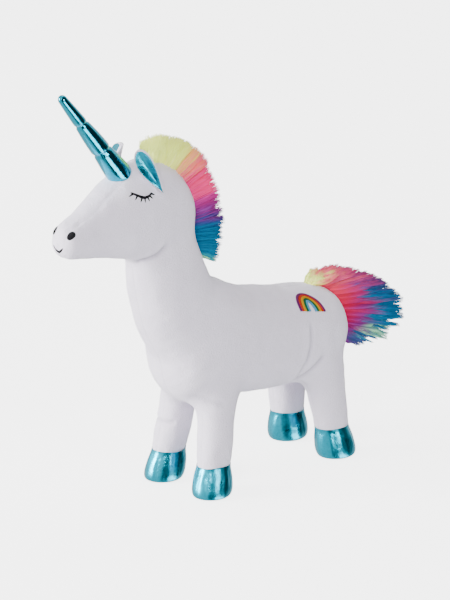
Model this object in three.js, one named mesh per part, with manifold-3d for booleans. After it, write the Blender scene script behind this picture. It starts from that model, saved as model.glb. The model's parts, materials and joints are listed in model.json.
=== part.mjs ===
// A stuffed toy unicorn that stands on four legs, built as the separate pieces it is sewn from:
// plush panels over stuffing, foil hooves, horn and ear linings, a fur mane and tail, and satin-stitch
// embroidery. Millimetres, +Z up, the nose points along -Y and the unicorn's own left side is +X.
import * as THREE from "three";
import { LoftGeometry } from "three/addons/geometries/LoftGeometry.js";
import { mergeVertices } from "three/addons/utils/BufferGeometryUtils.js";
import Module from "manifold-3d";

const wasm = await Module();
wasm.setup();

// ---------------------------------------------------------------- driving dimensions
const plush = 1.6; // thickness of the short-pile plush
const foil = 0.9; // thickness of the foil cloth
const tape = 1.2; // thickness of the woven strip that carries the long fur
const gap = 0.5; // clearance between neighbouring pieces
const seamGap = 0.5; // clearance along a seam between two panels

const torso = {
  length: 200, // chest to rump
  width: 84,
  backHeight: 156, // height of the back above the floor, behind the withers
  bellyHeight: 67, // height of the belly above the floor
  centreY: -4, // middle of its length, from the middle of the four hooves
  bellyPanel: 40, // width of the panel under the belly
};
const stance = {
  width: 59.4, // between the centres of a left and a right hoof
  length: 145, // between the centres of a front and a rear hoof
};
const leg = {
  hipHeight: 84, // height of the swing axis above the floor
  hipWidth: 44, // between the middles of a left and a right leg's top
  topHalfX: 17,
  frontSetBack: 46, // from the chest to a front leg's middle
  rearSetIn: 34, // from the rump to a rear leg's middle
  frontTopHalfY: 21,
  rearTopHalfY: 25,
  ankleHalfX: 14.6,
  ankleHalfY: 16.6,
  swing: 15, // degrees each way
};
const hoof = {
  height: 25,
  halfX: 16.8,
  halfY: 18.6,
  soleShare: 0.84, // size of the flat sole over the widest part of the hoof
};
const neck = {
  setBack: 24, // from the chest to the middle of its base
  rise: 9, // of its base above the back
  length: 62,
  lean: 20, // degrees forward from upright
  baseHalfX: 33,
  baseHalfD: 40,
  topHalfX: 25,
  topHalfD: 35,
  nodBack: 8, // degrees
  nodForward: 10,
};
const head = {
  length: 152, // back of the head to muzzle
  height: 90, // jaw to forehead, at its tallest
  width: 57, // at its widest
  reach: 120.3, // of the nose ahead of the neck's top
  jawDrop: 7.3, // of the jaw line below the neck's top
  gusset: 19, // width of the strip from the horn to the nose
};
const horn = {
  length: 104,
  baseRadius: 11.2,
  tipRadius: 3.4,
  lean: 38.5, // degrees forward from upright
  ahead: 51.4, // of the neck's top, to the middle of its base
  above: 77.7, // the neck's top
  waists: [0.27, 0.63], // where the threads pull it in, as a share of its length
  pullIn: 1.4, // depth of each waist
  threadRadius: 0.7,
  flex: 12, // degrees each way
};
const ear = {
  length: 40,
  width: 17,
  cup: 4, // depth of its hollow
  thickness: 2.4, // of its plush back
  margin: 2, // plush showing round the lining
  ahead: 27.8, // of the neck's top, to its root
  above: 61.7, // the neck's top
  standOff: 3.4, // clear of the head at its root
  leanIn: 24, // degrees from upright towards the other ear
  leanForward: 17,
  turn: 44, // degrees that its hollow faces forward from sideways
  fold: 30, // degrees that it folds down, away from the head
};
const mane = { pile: 30, width: 23, tapeWidth: 9 };
const tail = {
  length: 70,
  height: 68,
  width: 38,
  drop: 9, // of its tip below its root
  aboveBelly: 19, // to the lower end of its root
  belowBack: 19, // to the upper end of its root
  tapeWidth: 9,
};
const stitch = { radius: 0.85, lift: 0.4 };
const rainbow = {
  width: 29,
  height: 22,
  setIn: 56, // from the rump to its middle
  climb: 37, // degrees above level, from the middle of the torso
};

const colours = {
  plush: 0xf4f3f6,
  foil: 0x19a7bd,
  fill: 0xfafaf7,
  thread: 0x0b0b0e,
  tape: 0xe9e6ea,
  maneTop: 0xf0508c,
  maneBase: 0x12a5cf,
  tail: 0xe85a9a,
  violetBand: 0x8f4a9c,
  redBand: 0xe0522d,
  yellowBand: 0xf2cf3a,
  greenBand: 0x1f8a5b,
  blueBand: 0x6db7e8,
};

// ---------------------------------------------------------------- small helpers
const radians = THREE.MathUtils.degToRad;
const model = new THREE.Group();

function solidOf(geometry) {
  const bare = geometry.index ? geometry.toNonIndexed() : geometry.clone();
  const positions = new THREE.BufferGeometry();
  positions.setAttribute("position", bare.getAttribute("position"));
  const merged = mergeVertices(positions, 1e-3);
  return new wasm.Manifold(
    new wasm.Mesh({
      numProp: 3,
      vertProperties: merged.attributes.position.array,
      triVerts: new Uint32Array(merged.index.array),
    }),
  );
}

function geometryOf(solid) {
  const mesh = solid.getMesh();
  const points = new Float32Array(mesh.numVert * 3);
  for (let i = 0; i < mesh.numVert; i++) {
    points.set(mesh.vertProperties.subarray(i * mesh.numProp, i * mesh.numProp + 3), i * 3);
  }
  const geometry = new THREE.BufferGeometry();
  geometry.setAttribute("position", new THREE.BufferAttribute(points, 3));
  geometry.setIndex(new THREE.BufferAttribute(new Uint32Array(mesh.triVerts), 1));
  return geometry;
}

// The largest connected body of a cut solid, since a cut can leave crumbs at a panel's edge.
function mainBody(solid) {
  const bodies = solid.decompose();
  return bodies.reduce((best, body) => (body.volume() > best.volume() ? body : best), bodies[0]);
}

function add(name, shape, colour, roughness = 0.9, metalness = 0) {
  const geometry = shape.isBufferGeometry ? shape : geometryOf(mainBody(shape));
  geometry.computeVertexNormals();
  const material = new THREE.MeshStandardMaterial({ color: colour, roughness, metalness });
  const mesh = new THREE.Mesh(geometry, material);
  mesh.name = name;
  model.add(mesh);
}

const addPlush = (name, shape) => add(name, shape, colours.plush, 0.95);
const addFill = (name, shape) => add(name, shape, colours.fill, 1);
const addFoil = (name, shape) => add(name, shape, colours.foil, 0.25, 0.8);
const addThread = (name, shape, colour = colours.thread) => add(name, shape, colour, 0.5);

// A box as a solid, from its two corners.
function boxBetween(low, high) {
  const size = high.clone().sub(low);
  const middle = high.clone().add(low).multiplyScalar(0.5);
  return solidOf(new THREE.BoxGeometry(size.x, size.y, size.z).translate(middle.x, middle.y, middle.z));
}

// Half of space, as a large block: everything on the side of the plane that its normal points to.
function halfSpace(point, normal, size = 700) {
  const block = new THREE.BoxGeometry(size, size, size).translate(0, 0, size / 2);
  const turn = new THREE.Quaternion().setFromUnitVectors(new THREE.Vector3(0, 0, 1), normal.clone().normalize());
  return solidOf(block.applyQuaternion(turn).translate(point.x, point.y, point.z));
}

// ---------------------------------------------------------------- stuffed forms
// A form is a row of stations. Each is a rounded section across X and its own "up" direction:
// a middle (x, y, z), half sizes across (hx) and up (hd), a power that squares its corners, and the
// tilt of "up" from +Y towards +Z in degrees. Between stations every value follows a smooth curve.
function makeForm(stations, samples) {
  const place = new THREE.CatmullRomCurve3(stations.map((s) => new THREE.Vector3(s.x ?? 0, s.y, s.z)));
  const sizes = new THREE.CatmullRomCurve3(stations.map((s) => new THREE.Vector3(s.hx, s.hd, s.power ?? 2)));
  const turns = new THREE.CatmullRomCurve3(stations.map((s) => new THREE.Vector3(s.tilt ?? 0, 0, 0)));
  const at = (t) => {
    const size = sizes.getPoint(t);
    const angle = radians(turns.getPoint(t).x);
    const up = new THREE.Vector3(0, Math.cos(angle), Math.sin(angle));
    return { middle: place.getPoint(t), hx: size.x, hd: size.y, power: size.z, up };
  };
  return { at, samples };
}

// A point on a section's outline: the superellipse |x/hx|^p + |d/hd|^p = 1 at the given angle.
function outlinePoint(section, angle, inset) {
  const c = Math.cos(angle);
  const s = Math.sin(angle);
  const hx = Math.max(section.hx - inset, section.hx / 3);
  const hd = Math.max(section.hd - inset, section.hd / 3);
  const across = Math.sign(c) * Math.pow(Math.abs(c), 2 / section.power) * hx;
  const rise = Math.sign(s) * Math.pow(Math.abs(s), 2 / section.power) * hd;
  return section.middle.clone().add(new THREE.Vector3(across, 0, 0)).addScaledVector(section.up, rise);
}

// A closed loft through rings of points, whichever way round the rings were written.
function loft(rings) {
  const middleOf = (ring) => ring.reduce((sum, p) => sum.add(p), new THREE.Vector3()).divideScalar(ring.length);
  const area = new THREE.Vector3();
  const middle = middleOf(rings[0]);
  rings[0].forEach((p, i) => {
    const next = rings[0][(i + 1) % rings[0].length];
    area.add(p.clone().sub(middle).cross(next.clone().sub(middle)));
  });
  const onward = middleOf(rings[1]).sub(middle);
  const sections = area.dot(onward) < 0 ? rings.map((ring) => ring.slice().reverse()) : rings;
  return solidOf(new LoftGeometry(sections, { capStart: true, capEnd: true }));
}

// The solid of a form, its surface moved in by inset (out when it is negative), between two stations.
// Past its ends it can run straight on by a length.
function core(form, inset, sides, range = [0, 1], past = [0, 0]) {
  const ringAt = (t) => {
    const section = form.at(t);
    const ring = [];
    for (let j = 0; j < sides; j++) ring.push(outlinePoint(section, ((j + 0.5) / sides) * 2 * Math.PI, inset));
    return ring;
  };
  const shares = [];
  for (let i = 0; i <= form.samples; i++) shares.push(THREE.MathUtils.lerp(range[0], range[1], i / form.samples));
  const rings = shares.map(ringAt);
  const along = form.at(1).middle.sub(form.at(0).middle).normalize();
  const shifted = (ring, length) => ring.map((p) => p.clone().addScaledVector(along, length));
  if (past[0]) rings.unshift(shifted(rings[0], -past[0]));
  if (past[1]) rings.push(shifted(rings[rings.length - 1], past[1]));
  return loft(rings);
}

// The skin of a form that is closed at both ends.
const closedSkin = (form, thickness, sides) =>
  core(form, 0, sides).subtract(core(form, thickness, sides, insideRange));
const insideRange = [0.03, 0.97]; // how far the inside of a closed form reaches towards its ends
const around = 16; // sides of every stuffed section
const aroundLeg = 12;
const aroundHorn = 10;

// Its filling, from the same sections and a gap short of the skin's ends.
function closedFilling(form, thickness, sides) {
  const ends = insideRange.map((t) => form.at(t).middle.y);
  const low = new THREE.Vector3(-400, Math.min(...ends) + gap, -10);
  const high = new THREE.Vector3(400, Math.max(...ends) - gap, 500);
  return core(form, thickness + gap, sides, insideRange).intersect(boxBetween(low, high));
}

// The skin of a form that is open at both ends, and its filling.
const openSkin = (form, thickness, sides) => core(form, 0, sides).subtract(core(form, thickness, sides, [0, 1], [9, 9]));

// Everything with x above, or below, a value.
const leftOf = (x) => halfSpace(new THREE.Vector3(x, 0, 0), new THREE.Vector3(1, 0, 0));
const rightOf = (x) => halfSpace(new THREE.Vector3(x, 0, 0), new THREE.Vector3(-1, 0, 0));
const xAxis = new THREE.Vector3(1, 0, 0);

// Where a ray from inside a form leaves its skin. The form's sections stand upright along Y.
function skinPoint(form, start, direction, lift) {
  const stationAt = (y) => {
    let low = 0;
    let high = 1;
    const rising = form.at(1).middle.y > form.at(0).middle.y;
    for (let i = 0; i < 22; i++) {
      const mid = (low + high) / 2;
      if (form.at(mid).middle.y < y === rising) low = mid;
      else high = mid;
    }
    return form.at((low + high) / 2);
  };
  const inside = (p) => {
    const section = stationAt(p.y);
    if (Math.abs(section.middle.y - p.y) > 0.01) return false;
    const across = Math.abs((p.x - section.middle.x) / section.hx);
    const rise = Math.abs((p.z - section.middle.z) / section.hd);
    return Math.pow(across, section.power) + Math.pow(rise, section.power) < 1;
  };
  const unit = direction.clone().normalize();
  let near = 0;
  let far = 120;
  for (let i = 0; i < 22; i++) {
    const mid = (near + far) / 2;
    if (inside(start.clone().addScaledVector(unit, mid))) near = mid;
    else far = mid;
  }
  return start.clone().addScaledVector(unit, near + lift);
}

// A round cord of thread along points.
function cordAlong(points, radius, sides = 6, steps = 2) {
  const section = new THREE.Shape();
  for (let i = 0; i < sides; i++) {
    const angle = (i / sides) * 2 * Math.PI;
    const x = radius * Math.cos(angle);
    const y = radius * Math.sin(angle);
    if (i === 0) section.moveTo(x, y);
    else section.lineTo(x, y);
  }
  section.closePath();
  const path = new THREE.CatmullRomCurve3(points);
  const settings = { steps: steps * (points.length - 1), extrudePath: path, bevelEnabled: false };
  return solidOf(new THREE.ExtrudeGeometry(section, settings));
}

// ---------------------------------------------------------------- torso
// Rows of the table, chest to rump: share of the length, belly and back heights as shares of the
// torso's depth, half width as a share of half the torso's width, and the power of the section.
const chestY = torso.centreY - torso.length / 2;
const torsoY = (share) => chestY + share * torso.length;
const torsoDepth = torso.backHeight - torso.bellyHeight;
const torsoForm = makeForm(
  [
    [0, 0.6, 0.76, 0.12, 2],
    [0.015, 0.4, 0.98, 0.46, 2],
    [0.055, 0.21, 1.2, 0.76, 2.2],
    [0.13, 0.1, 1.34, 0.94, 2.4],
    [0.23, 0.08, 1.36, 1, 2.6],
    [0.33, 0.07, 1.26, 1, 2.5],
    [0.44, 0.04, 1.13, 0.98, 2.4],
    [0.56, 0, 1.05, 0.97, 2.3],
    [0.68, -0.01, 0.98, 0.97, 2.4],
    [0.8, 0, 0.93, 0.98, 2.6],
    [0.9, 0.05, 0.88, 0.89, 2.4],
    [0.96, 0.17, 0.79, 0.68, 2.1],
    [0.988, 0.3, 0.67, 0.42, 2],
    [1, 0.42, 0.54, 0.12, 2],
  ].map(([share, low, high, wide, power]) => {
    const bottom = torso.bellyHeight + low * torsoDepth;
    const top = torso.bellyHeight + high * torsoDepth;
    const z = (top + bottom) / 2;
    return { y: torsoY(share), z, hx: (wide * torso.width) / 2, hd: (top - bottom) / 2, power, tilt: 90 };
  }),
  14,
);

// The neck stands on the torso along its own axis, and the torso ends below it in a shallow roof, so
// that the neck can nod either way on the ridge.
const neckAxis = new THREE.Vector3(0, -Math.sin(radians(neck.lean)), Math.cos(radians(neck.lean)));
const neckBase = new THREE.Vector3(0, chestY + neck.setBack, torso.backHeight + neck.rise);
const neckTop = neckBase.clone().addScaledVector(neckAxis, neck.length);
const fromNeckTop = (ahead, above) => new THREE.Vector3(0, neckTop.y - ahead, neckTop.z + above);
const belowNeck = neckBase.clone().addScaledVector(neckAxis, -gap);
const seatSlope = (degrees) => halfSpace(belowNeck, neckAxis.clone().applyAxisAngle(xAxis, radians(degrees)));
const neckSeat = seatSlope(neck.nodForward).add(seatSlope(-neck.nodBack));

const rumpY = chestY + torso.length;
const ends = [
  { name: "front", hipY: chestY + leg.frontSetBack, hoofY: -stance.length / 2, topHalfY: leg.frontTopHalfY },
  { name: "rear", hipY: rumpY - leg.rearSetIn, hoofY: stance.length / 2, topHalfY: leg.rearTopHalfY },
];
const flanks = [
  { name: "left", sign: 1 },
  { name: "right", sign: -1 },
];
const keelHalf = leg.hipWidth / 2 - leg.topHalfX - gap; // half of the strip of belly between two legs
const swingRoom = 10; // a swinging leg's room in the torso, before and behind it
const legRooms = ends.flatMap((end) =>
  flanks.map((flank) => {
    const inner = flank.sign * keelHalf;
    const outer = flank.sign * torso.width;
    const reach = end.topHalfY + swingRoom;
    return boxBetween(
      new THREE.Vector3(Math.min(inner, outer), end.hipY - reach, -10),
      new THREE.Vector3(Math.max(inner, outer), end.hipY + reach, leg.hipHeight + gap),
    );
  }),
);
const cutTorso = (solid) => legRooms.reduce((left, room) => left.subtract(room), solid.subtract(neckSeat));
const torsoSkin = cutTorso(closedSkin(torsoForm, plush, around));
const bellyTop = torso.bellyHeight + torsoDepth / 3;
const bellyRegion = (half) =>
  boxBetween(new THREE.Vector3(-half, -400, -10), new THREE.Vector3(half, 400, bellyTop));
const bellyHole = bellyRegion(torso.bellyPanel / 2 + seamGap);
addPlush("torso_left_panel", torsoSkin.intersect(leftOf(seamGap / 2)).subtract(bellyHole));
addPlush("torso_right_panel", torsoSkin.intersect(rightOf(-seamGap / 2)).subtract(bellyHole));
addPlush("belly_panel", torsoSkin.intersect(bellyRegion(torso.bellyPanel / 2)));
addFill("torso_stuffing", cutTorso(closedFilling(torsoForm, plush, around)));

// Rainbow: five satin-stitch arches on the left flank, laid by rays that fan out from the middle.
const rainbowBands = [
  ["rainbow_violet_band", colours.violetBand],
  ["rainbow_red_band", colours.redBand],
  ["rainbow_yellow_band", colours.yellowBand],
  ["rainbow_green_band", colours.greenBand],
  ["rainbow_blue_band", colours.blueBand],
];
const torsoMiddle = torso.bellyHeight + torsoDepth / 2;
const archSteps = 12;
const rainbowY = rumpY - rainbow.setIn;
rainbowBands.forEach(([name, colour], band) => {
  const pitch = 2 * stitch.radius + 0.3;
  const halfWidth = rainbow.width / 2 - stitch.radius - band * pitch;
  const rise = rainbow.height - stitch.radius - band * pitch;
  const points = [];
  for (let i = 0; i <= archSteps; i++) {
    const angle = Math.PI * (1 - i / archSteps);
    const start = new THREE.Vector3(0, rainbowY + halfWidth * Math.cos(angle), torsoMiddle);
    const climb = radians(rainbow.climb) + (rise * Math.sin(angle)) / (torso.width * 0.54);
    const ray = new THREE.Vector3(Math.cos(climb), 0, Math.sin(climb));
    points.push(skinPoint(torsoForm, start, ray, stitch.radius + stitch.lift));
  }
  addThread(name, cordAlong(points, stitch.radius, 6, 1), colour);
});

// ---------------------------------------------------------------- legs and hooves
// A leg runs straight from its hip to the middle of its hoof, with level sections.
function legForm(end, flank, stations, samples) {
  const hip = new THREE.Vector3((flank.sign * leg.hipWidth) / 2, end.hipY, leg.hipHeight);
  const foot = new THREE.Vector3((flank.sign * stance.width) / 2, end.hoofY, 0);
  const placed = stations.map(([z, hx, hd]) => {
    const p = hip.clone().lerp(foot, 1 - z / leg.hipHeight);
    return { x: p.x, y: p.y, z: p.z, hx, hd, power: 2.1, tilt: 0 };
  });
  return makeForm(placed, samples);
}

for (const end of ends) {
  for (const flank of flanks) {
    const place = `${end.name}_${flank.name}`;
    const midHeight = (leg.hipHeight + hoof.height) / 2;
    const shin = legForm(
      end,
      flank,
      [
        [leg.hipHeight, leg.topHalfX, end.topHalfY],
        [midHeight, (leg.topHalfX + leg.ankleHalfX) / 2, (end.topHalfY + leg.ankleHalfY) / 2 - 1],
        [hoof.height + gap, leg.ankleHalfX, leg.ankleHalfY],
      ],
      2,
    );
    const shoe = legForm(
      end,
      flank,
      [
        [hoof.height, leg.ankleHalfX + 0.4, leg.ankleHalfY + 0.4],
        [hoof.height / 2, hoof.halfX, hoof.halfY],
        [foil + gap, hoof.halfX * 0.94, hoof.halfY * 0.94],
      ],
      2,
    );
    const sole = legForm(
      end,
      flank,
      [
        [foil, hoof.halfX * 0.92, hoof.halfY * 0.92],
        [0, hoof.halfX * hoof.soleShare, hoof.halfY * hoof.soleShare],
      ],
      1,
    );
    // The top is a roof whose ridge is the swing axis, so that the leg can swing under the torso.
    const ridge = new THREE.Vector3(0, end.hipY, leg.hipHeight);
    const up = new THREE.Vector3(0, 0, 1);
    const slope = (degrees) => halfSpace(ridge, up.clone().applyAxisAngle(xAxis, radians(degrees)));
    const roof = slope(leg.swing).add(slope(-leg.swing));
    // The seams run down the front and the back, in the upright plane through the leg's own axis.
    const spread = Math.atan2((stance.width - leg.hipWidth) / 2, leg.hipHeight);
    const seamNormal = new THREE.Vector3(Math.cos(spread), 0, flank.sign * Math.sin(spread));
    const seamPoint = new THREE.Vector3((flank.sign * leg.hipWidth) / 2, 0, leg.hipHeight);
    const half = (way) =>
      halfSpace(
        seamPoint.clone().addScaledVector(seamNormal, (way * seamGap) / 2),
        seamNormal.clone().multiplyScalar(way),
      );
    const skin = openSkin(shin, plush, aroundLeg).subtract(roof);
    addPlush(`leg_${place}_outer_panel`, skin.intersect(half(flank.sign)));
    addPlush(`leg_${place}_inner_panel`, skin.intersect(half(-flank.sign)));
    const shinFill = core(shin, plush + gap, aroundLeg, [0, 1], [0, 4]).subtract(roof);
    const shoeFill = core(shoe, foil + gap, aroundLeg);
    addFill(`leg_${place}_stuffing`, shinFill.add(shoeFill));
    addFoil(`hoof_${place}_band`, core(shoe, 0, aroundLeg).subtract(core(shoe, foil, aroundLeg, [0, 1], [5, 5])));
    addFoil(`hoof_${place}_sole`, core(sole, 0, aroundLeg));
  }
}

// ---------------------------------------------------------------- neck
const neckStation = (share, hx, hd) => {
  const p = neckBase.clone().addScaledVector(neckAxis, share * neck.length);
  return { y: p.y, z: p.z, hx, hd, power: 2.1, tilt: neck.lean };
};
const neckForm = makeForm(
  [
    neckStation(0, neck.baseHalfX, neck.baseHalfD),
    neckStation(0.5, (neck.baseHalfX + neck.topHalfX) / 2 - 0.6, (neck.baseHalfD + neck.topHalfD) / 2 - 0.6),
    neckStation(1, neck.topHalfX, neck.topHalfD),
  ],
  3,
);
const neckSkin = openSkin(neckForm, plush, around);
addPlush("neck_left_panel", neckSkin.intersect(leftOf(seamGap / 2)));
addPlush("neck_right_panel", neckSkin.intersect(rightOf(-seamGap / 2)));
addFill("neck_stuffing", core(neckForm, plush + gap, around));

// ---------------------------------------------------------------- head
const noseY = fromNeckTop(head.reach, 0).y;
const jawZ = neckTop.z - head.jawDrop;
// Rows of the table, back of the head to muzzle: share of the length, jaw and forehead heights as
// shares of the head's height, half width as a share of half its width, and the power of the section.
const headForm = makeForm(
  [
    [0, 0.28, 0.4, 0.12, 2],
    [0.02, 0.12, 0.56, 0.44, 2],
    [0.07, -0.05, 0.7, 0.68, 2],
    [0.15, -0.16, 0.85, 0.84, 2.1],
    [0.27, -0.13, 0.98, 0.95, 2.2],
    [0.4, -0.02, 1.01, 1, 2.2],
    [0.53, 0.05, 0.95, 0.96, 2.2],
    [0.66, 0.12, 0.84, 0.82, 2.2],
    [0.79, 0.17, 0.71, 0.68, 2.2],
    [0.9, 0.2, 0.62, 0.62, 2.1],
    [0.96, 0.23, 0.58, 0.54, 2],
    [0.988, 0.29, 0.52, 0.36, 2],
    [1, 0.37, 0.44, 0.12, 2],
  ].map(([share, low, high, wide, power]) => {
    const bottom = jawZ + low * head.height;
    const top = jawZ + high * head.height;
    const y = noseY + (1 - share) * head.length;
    const z = (top + bottom) / 2;
    return { y, z, hx: (wide * head.width) / 2, hd: (top - bottom) / 2, power, tilt: 90 };
  }),
  14,
);
const headSeat = halfSpace(neckTop.clone().addScaledVector(neckAxis, gap), neckAxis.clone().negate());
const hornAxis = new THREE.Vector3(0, -Math.sin(radians(horn.lean)), Math.cos(radians(horn.lean)));
const hornBase = fromNeckTop(horn.ahead, horn.above);
const hornSeatRadius = horn.baseRadius + 2;
const hornRoom = solidOf(
  new THREE.CylinderGeometry(hornSeatRadius, hornSeatRadius, 40, 20)
    .translate(0, 20, 0)
    .applyQuaternion(new THREE.Quaternion().setFromUnitVectors(new THREE.Vector3(0, 1, 0), hornAxis))
    .translate(hornBase.x, hornBase.y, hornBase.z),
);
const cutHead = (solid) => solid.subtract(headSeat).subtract(hornRoom);
const headSkin = cutHead(closedSkin(headForm, plush, around));
const headMiddle = jawZ + head.height * 0.4;
const gussetRegion = (half) =>
  boxBetween(new THREE.Vector3(-half, noseY - 5, headMiddle), new THREE.Vector3(half, hornBase.y, 400));
const gussetHole = gussetRegion(head.gusset / 2 + seamGap);
addPlush("head_left_panel", headSkin.intersect(leftOf(seamGap / 2)).subtract(gussetHole));
addPlush("head_right_panel", headSkin.intersect(rightOf(-seamGap / 2)).subtract(gussetHole));
addPlush("forehead_gusset", headSkin.intersect(gussetRegion(head.gusset / 2)));
addFill("head_stuffing", cutHead(closedFilling(headForm, plush, around)));

// Embroidery is laid on the skin by rays from the middle of the head.
const faceStart = (y, z) => new THREE.Vector3(0, y, z);
function onCheek(sign, y, z, startZ) {
  const start = faceStart(y, startZ);
  const near = skinPoint(headForm, start, new THREE.Vector3(sign, 0, (z - startZ) / (head.width * 0.42)), 0);
  return near.addScaledVector(new THREE.Vector3(sign, 0, 0.4).normalize(), stitch.radius + stitch.lift);
}
// Points of the lid, as shares of the head's length behind the nose and of its height above the jaw.
const eyeLid = [
  [0.415, 0.825],
  [0.445, 0.775],
  [0.48, 0.75],
  [0.515, 0.75],
  [0.553, 0.785],
].map(([behind, above]) => [noseY + behind * head.length, jawZ + above * head.height]);
const lashes = [
  [0, -4.4, -1.2],
  [1, -3.2, -4.2],
  [1.6, -1.6, -5],
  [2.3, 0.4, -5.2],
  [3, 2.2, -4.8],
  [4, 3.6, -3.2],
];
const eyeStartZ = jawZ + head.height / 2;
const muzzleDepth = 14;
const muzzleMiddle = new THREE.Vector3(0, noseY + muzzleDepth, jawZ + head.height * 0.41);
for (const flank of flanks) {
  const lidAt = (share) => {
    const i = Math.min(Math.floor(share), eyeLid.length - 2);
    const t = share - i;
    return [0, 1].map((k) => THREE.MathUtils.lerp(eyeLid[i][k], eyeLid[i + 1][k], t));
  };
  const lid = cordAlong(eyeLid.map(([y, z]) => onCheek(flank.sign, y, z, eyeStartZ)), stitch.radius, 6, 1);
  const eye = lashes.reduce((made, [share, dy, dz]) => {
    const [y, z] = lidAt(share);
    const root = onCheek(flank.sign, y, z, eyeStartZ);
    const tip = onCheek(flank.sign, y + dy, z + dz, eyeStartZ);
    return made.add(cordAlong([root, tip], stitch.radius * 0.6, 4, 1));
  }, lid);
  addThread(`eye_${flank.name}`, eye);
  const nostril = [
    [11, 12.5],
    [13, 10],
    [15, 6.5],
  ].map(([side, climb]) => {
    const way = new THREE.Vector3(flank.sign * side, -muzzleDepth, climb);
    return skinPoint(headForm, muzzleMiddle, way, stitch.radius + 2 * stitch.lift);
  });
  addThread(`nostril_${flank.name}`, cordAlong(nostril, stitch.radius * 1.5, 8, 1));
}
const mouthPoints = [-1, -0.5, 0, 0.5, 1].map((side) => {
  const way = new THREE.Vector3(side * 5.5, -muzzleDepth, -8 + Math.abs(side) * 3.5);
  return skinPoint(headForm, muzzleMiddle, way, stitch.radius + stitch.lift);
});
addThread("mouth_stitch", cordAlong(mouthPoints, stitch.radius * 0.7, 6, 1));

// ---------------------------------------------------------------- horn
const hornStation = (share, radius) => {
  const p = hornBase.clone().addScaledVector(hornAxis, gap + share * (horn.length - gap));
  return { y: p.y, z: p.z, hx: radius, hd: radius, tilt: horn.lean };
};
const hornTaper = (share) => THREE.MathUtils.lerp(horn.baseRadius, horn.tipRadius, share);
const hornRows = [0, 0.1, 0.2, horn.waists[0], 0.34, 0.45, 0.55, horn.waists[1], 0.7, 0.8, 0.9, 0.97, 1];
const hornForm = makeForm(
  hornRows.map((share) => {
    const waist = horn.waists.includes(share) ? horn.pullIn : 0;
    const tip = share === 1 ? horn.tipRadius * 0.6 : 0;
    return hornStation(share, hornTaper(share) - waist - tip);
  }),
  13,
);
// Its foot is a roof across the body, so that it can bend forward and back on the head.
const hornTurn = (degrees) =>
  halfSpace(hornBase.clone().addScaledVector(hornAxis, gap), hornAxis.clone().negate().applyAxisAngle(xAxis, radians(degrees)));
const cutHorn = (solid) => solid.subtract(hornTurn(horn.flex).add(hornTurn(-horn.flex)));
const hornInside = core(hornForm, foil, aroundHorn, [0, 0.99], [9, 0]);
addFoil("horn_cover", cutHorn(core(hornForm, 0, aroundHorn).subtract(hornInside)));
addFill("horn_stuffing", cutHorn(core(hornForm, foil + gap, aroundHorn, [0, 0.96])));
["lower", "upper"].forEach((name, i) => {
  const share = horn.waists[i];
  const reach = hornTaper(share) - horn.pullIn + horn.threadRadius + 2 * gap;
  const ring = new THREE.TorusGeometry(reach, horn.threadRadius, 5, aroundHorn);
  ring.applyQuaternion(new THREE.Quaternion().setFromUnitVectors(new THREE.Vector3(0, 0, 1), hornAxis));
  const p = hornBase.clone().addScaledVector(hornAxis, gap + share * (horn.length - gap));
  ring.translate(p.x, p.y, p.z);
  addThread(`horn_thread_${name}`, solidOf(ring), 0x0d5f6e);
});

// ---------------------------------------------------------------- ears
// A leaf in its own frame: X across, Y from root to tip, +Z out of the hollow. Each row is a share of
// the length and of half the width.
const leaf = [
  [0, 0.34],
  [0.2, 0.74],
  [0.45, 1],
  [0.7, 0.9],
  [0.9, 0.55],
  [1, 0.22],
];
function leafSolid(low, high, trim) {
  const steps = 4;
  return loft(
    leaf.map(([share, wide]) => {
      const half = Math.max((wide * ear.width) / 2 - trim, stitch.radius);
      const y = THREE.MathUtils.lerp(trim, ear.length - trim, share);
      const pointAt = (k, z) => {
        const across = THREE.MathUtils.lerp(-half, half, k / steps);
        const hollow = ear.cup * Math.pow((2 * across) / ear.width, 2);
        return new THREE.Vector3(across, y, hollow + z);
      };
      const ring = [];
      for (let k = 0; k <= steps; k++) ring.push(pointAt(k, low));
      for (let k = steps; k >= 0; k--) ring.push(pointAt(k, high));
      return ring;
    }),
  );
}
const earBase = fromNeckTop(ear.ahead, ear.above);
const earRootStart = new THREE.Vector3(0, earBase.y, jawZ + head.height / 2);
const earClear = core(headForm, -gap, around);
for (const flank of flanks) {
  const toRoot = new THREE.Vector3(flank.sign * head.width * 0.45, 0, earBase.z - earRootStart.z);
  const root = skinPoint(headForm, earRootStart, toRoot, ear.standOff);
  const lean = new THREE.Vector3(
    -flank.sign * Math.tan(radians(ear.leanIn)),
    -Math.tan(radians(ear.leanForward)),
    1,
  );
  const length = lean.normalize();
  const facing = new THREE.Vector3(flank.sign * Math.cos(radians(ear.turn)), -Math.sin(radians(ear.turn)), 0);
  facing.addScaledVector(length, -facing.dot(length)).normalize();
  const frame = new THREE.Matrix4().makeBasis(length.clone().cross(facing), length, facing);
  frame.setPosition(root);
  const settled = (solid) => solidOf(geometryOf(solid).applyMatrix4(frame)).subtract(earClear);
  addPlush(`ear_${flank.name}_back`, settled(leafSolid(-ear.thickness, 0, 0)));
  addFoil(`ear_${flank.name}_lining`, settled(leafSolid(gap, gap + foil, ear.margin)));
}

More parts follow.
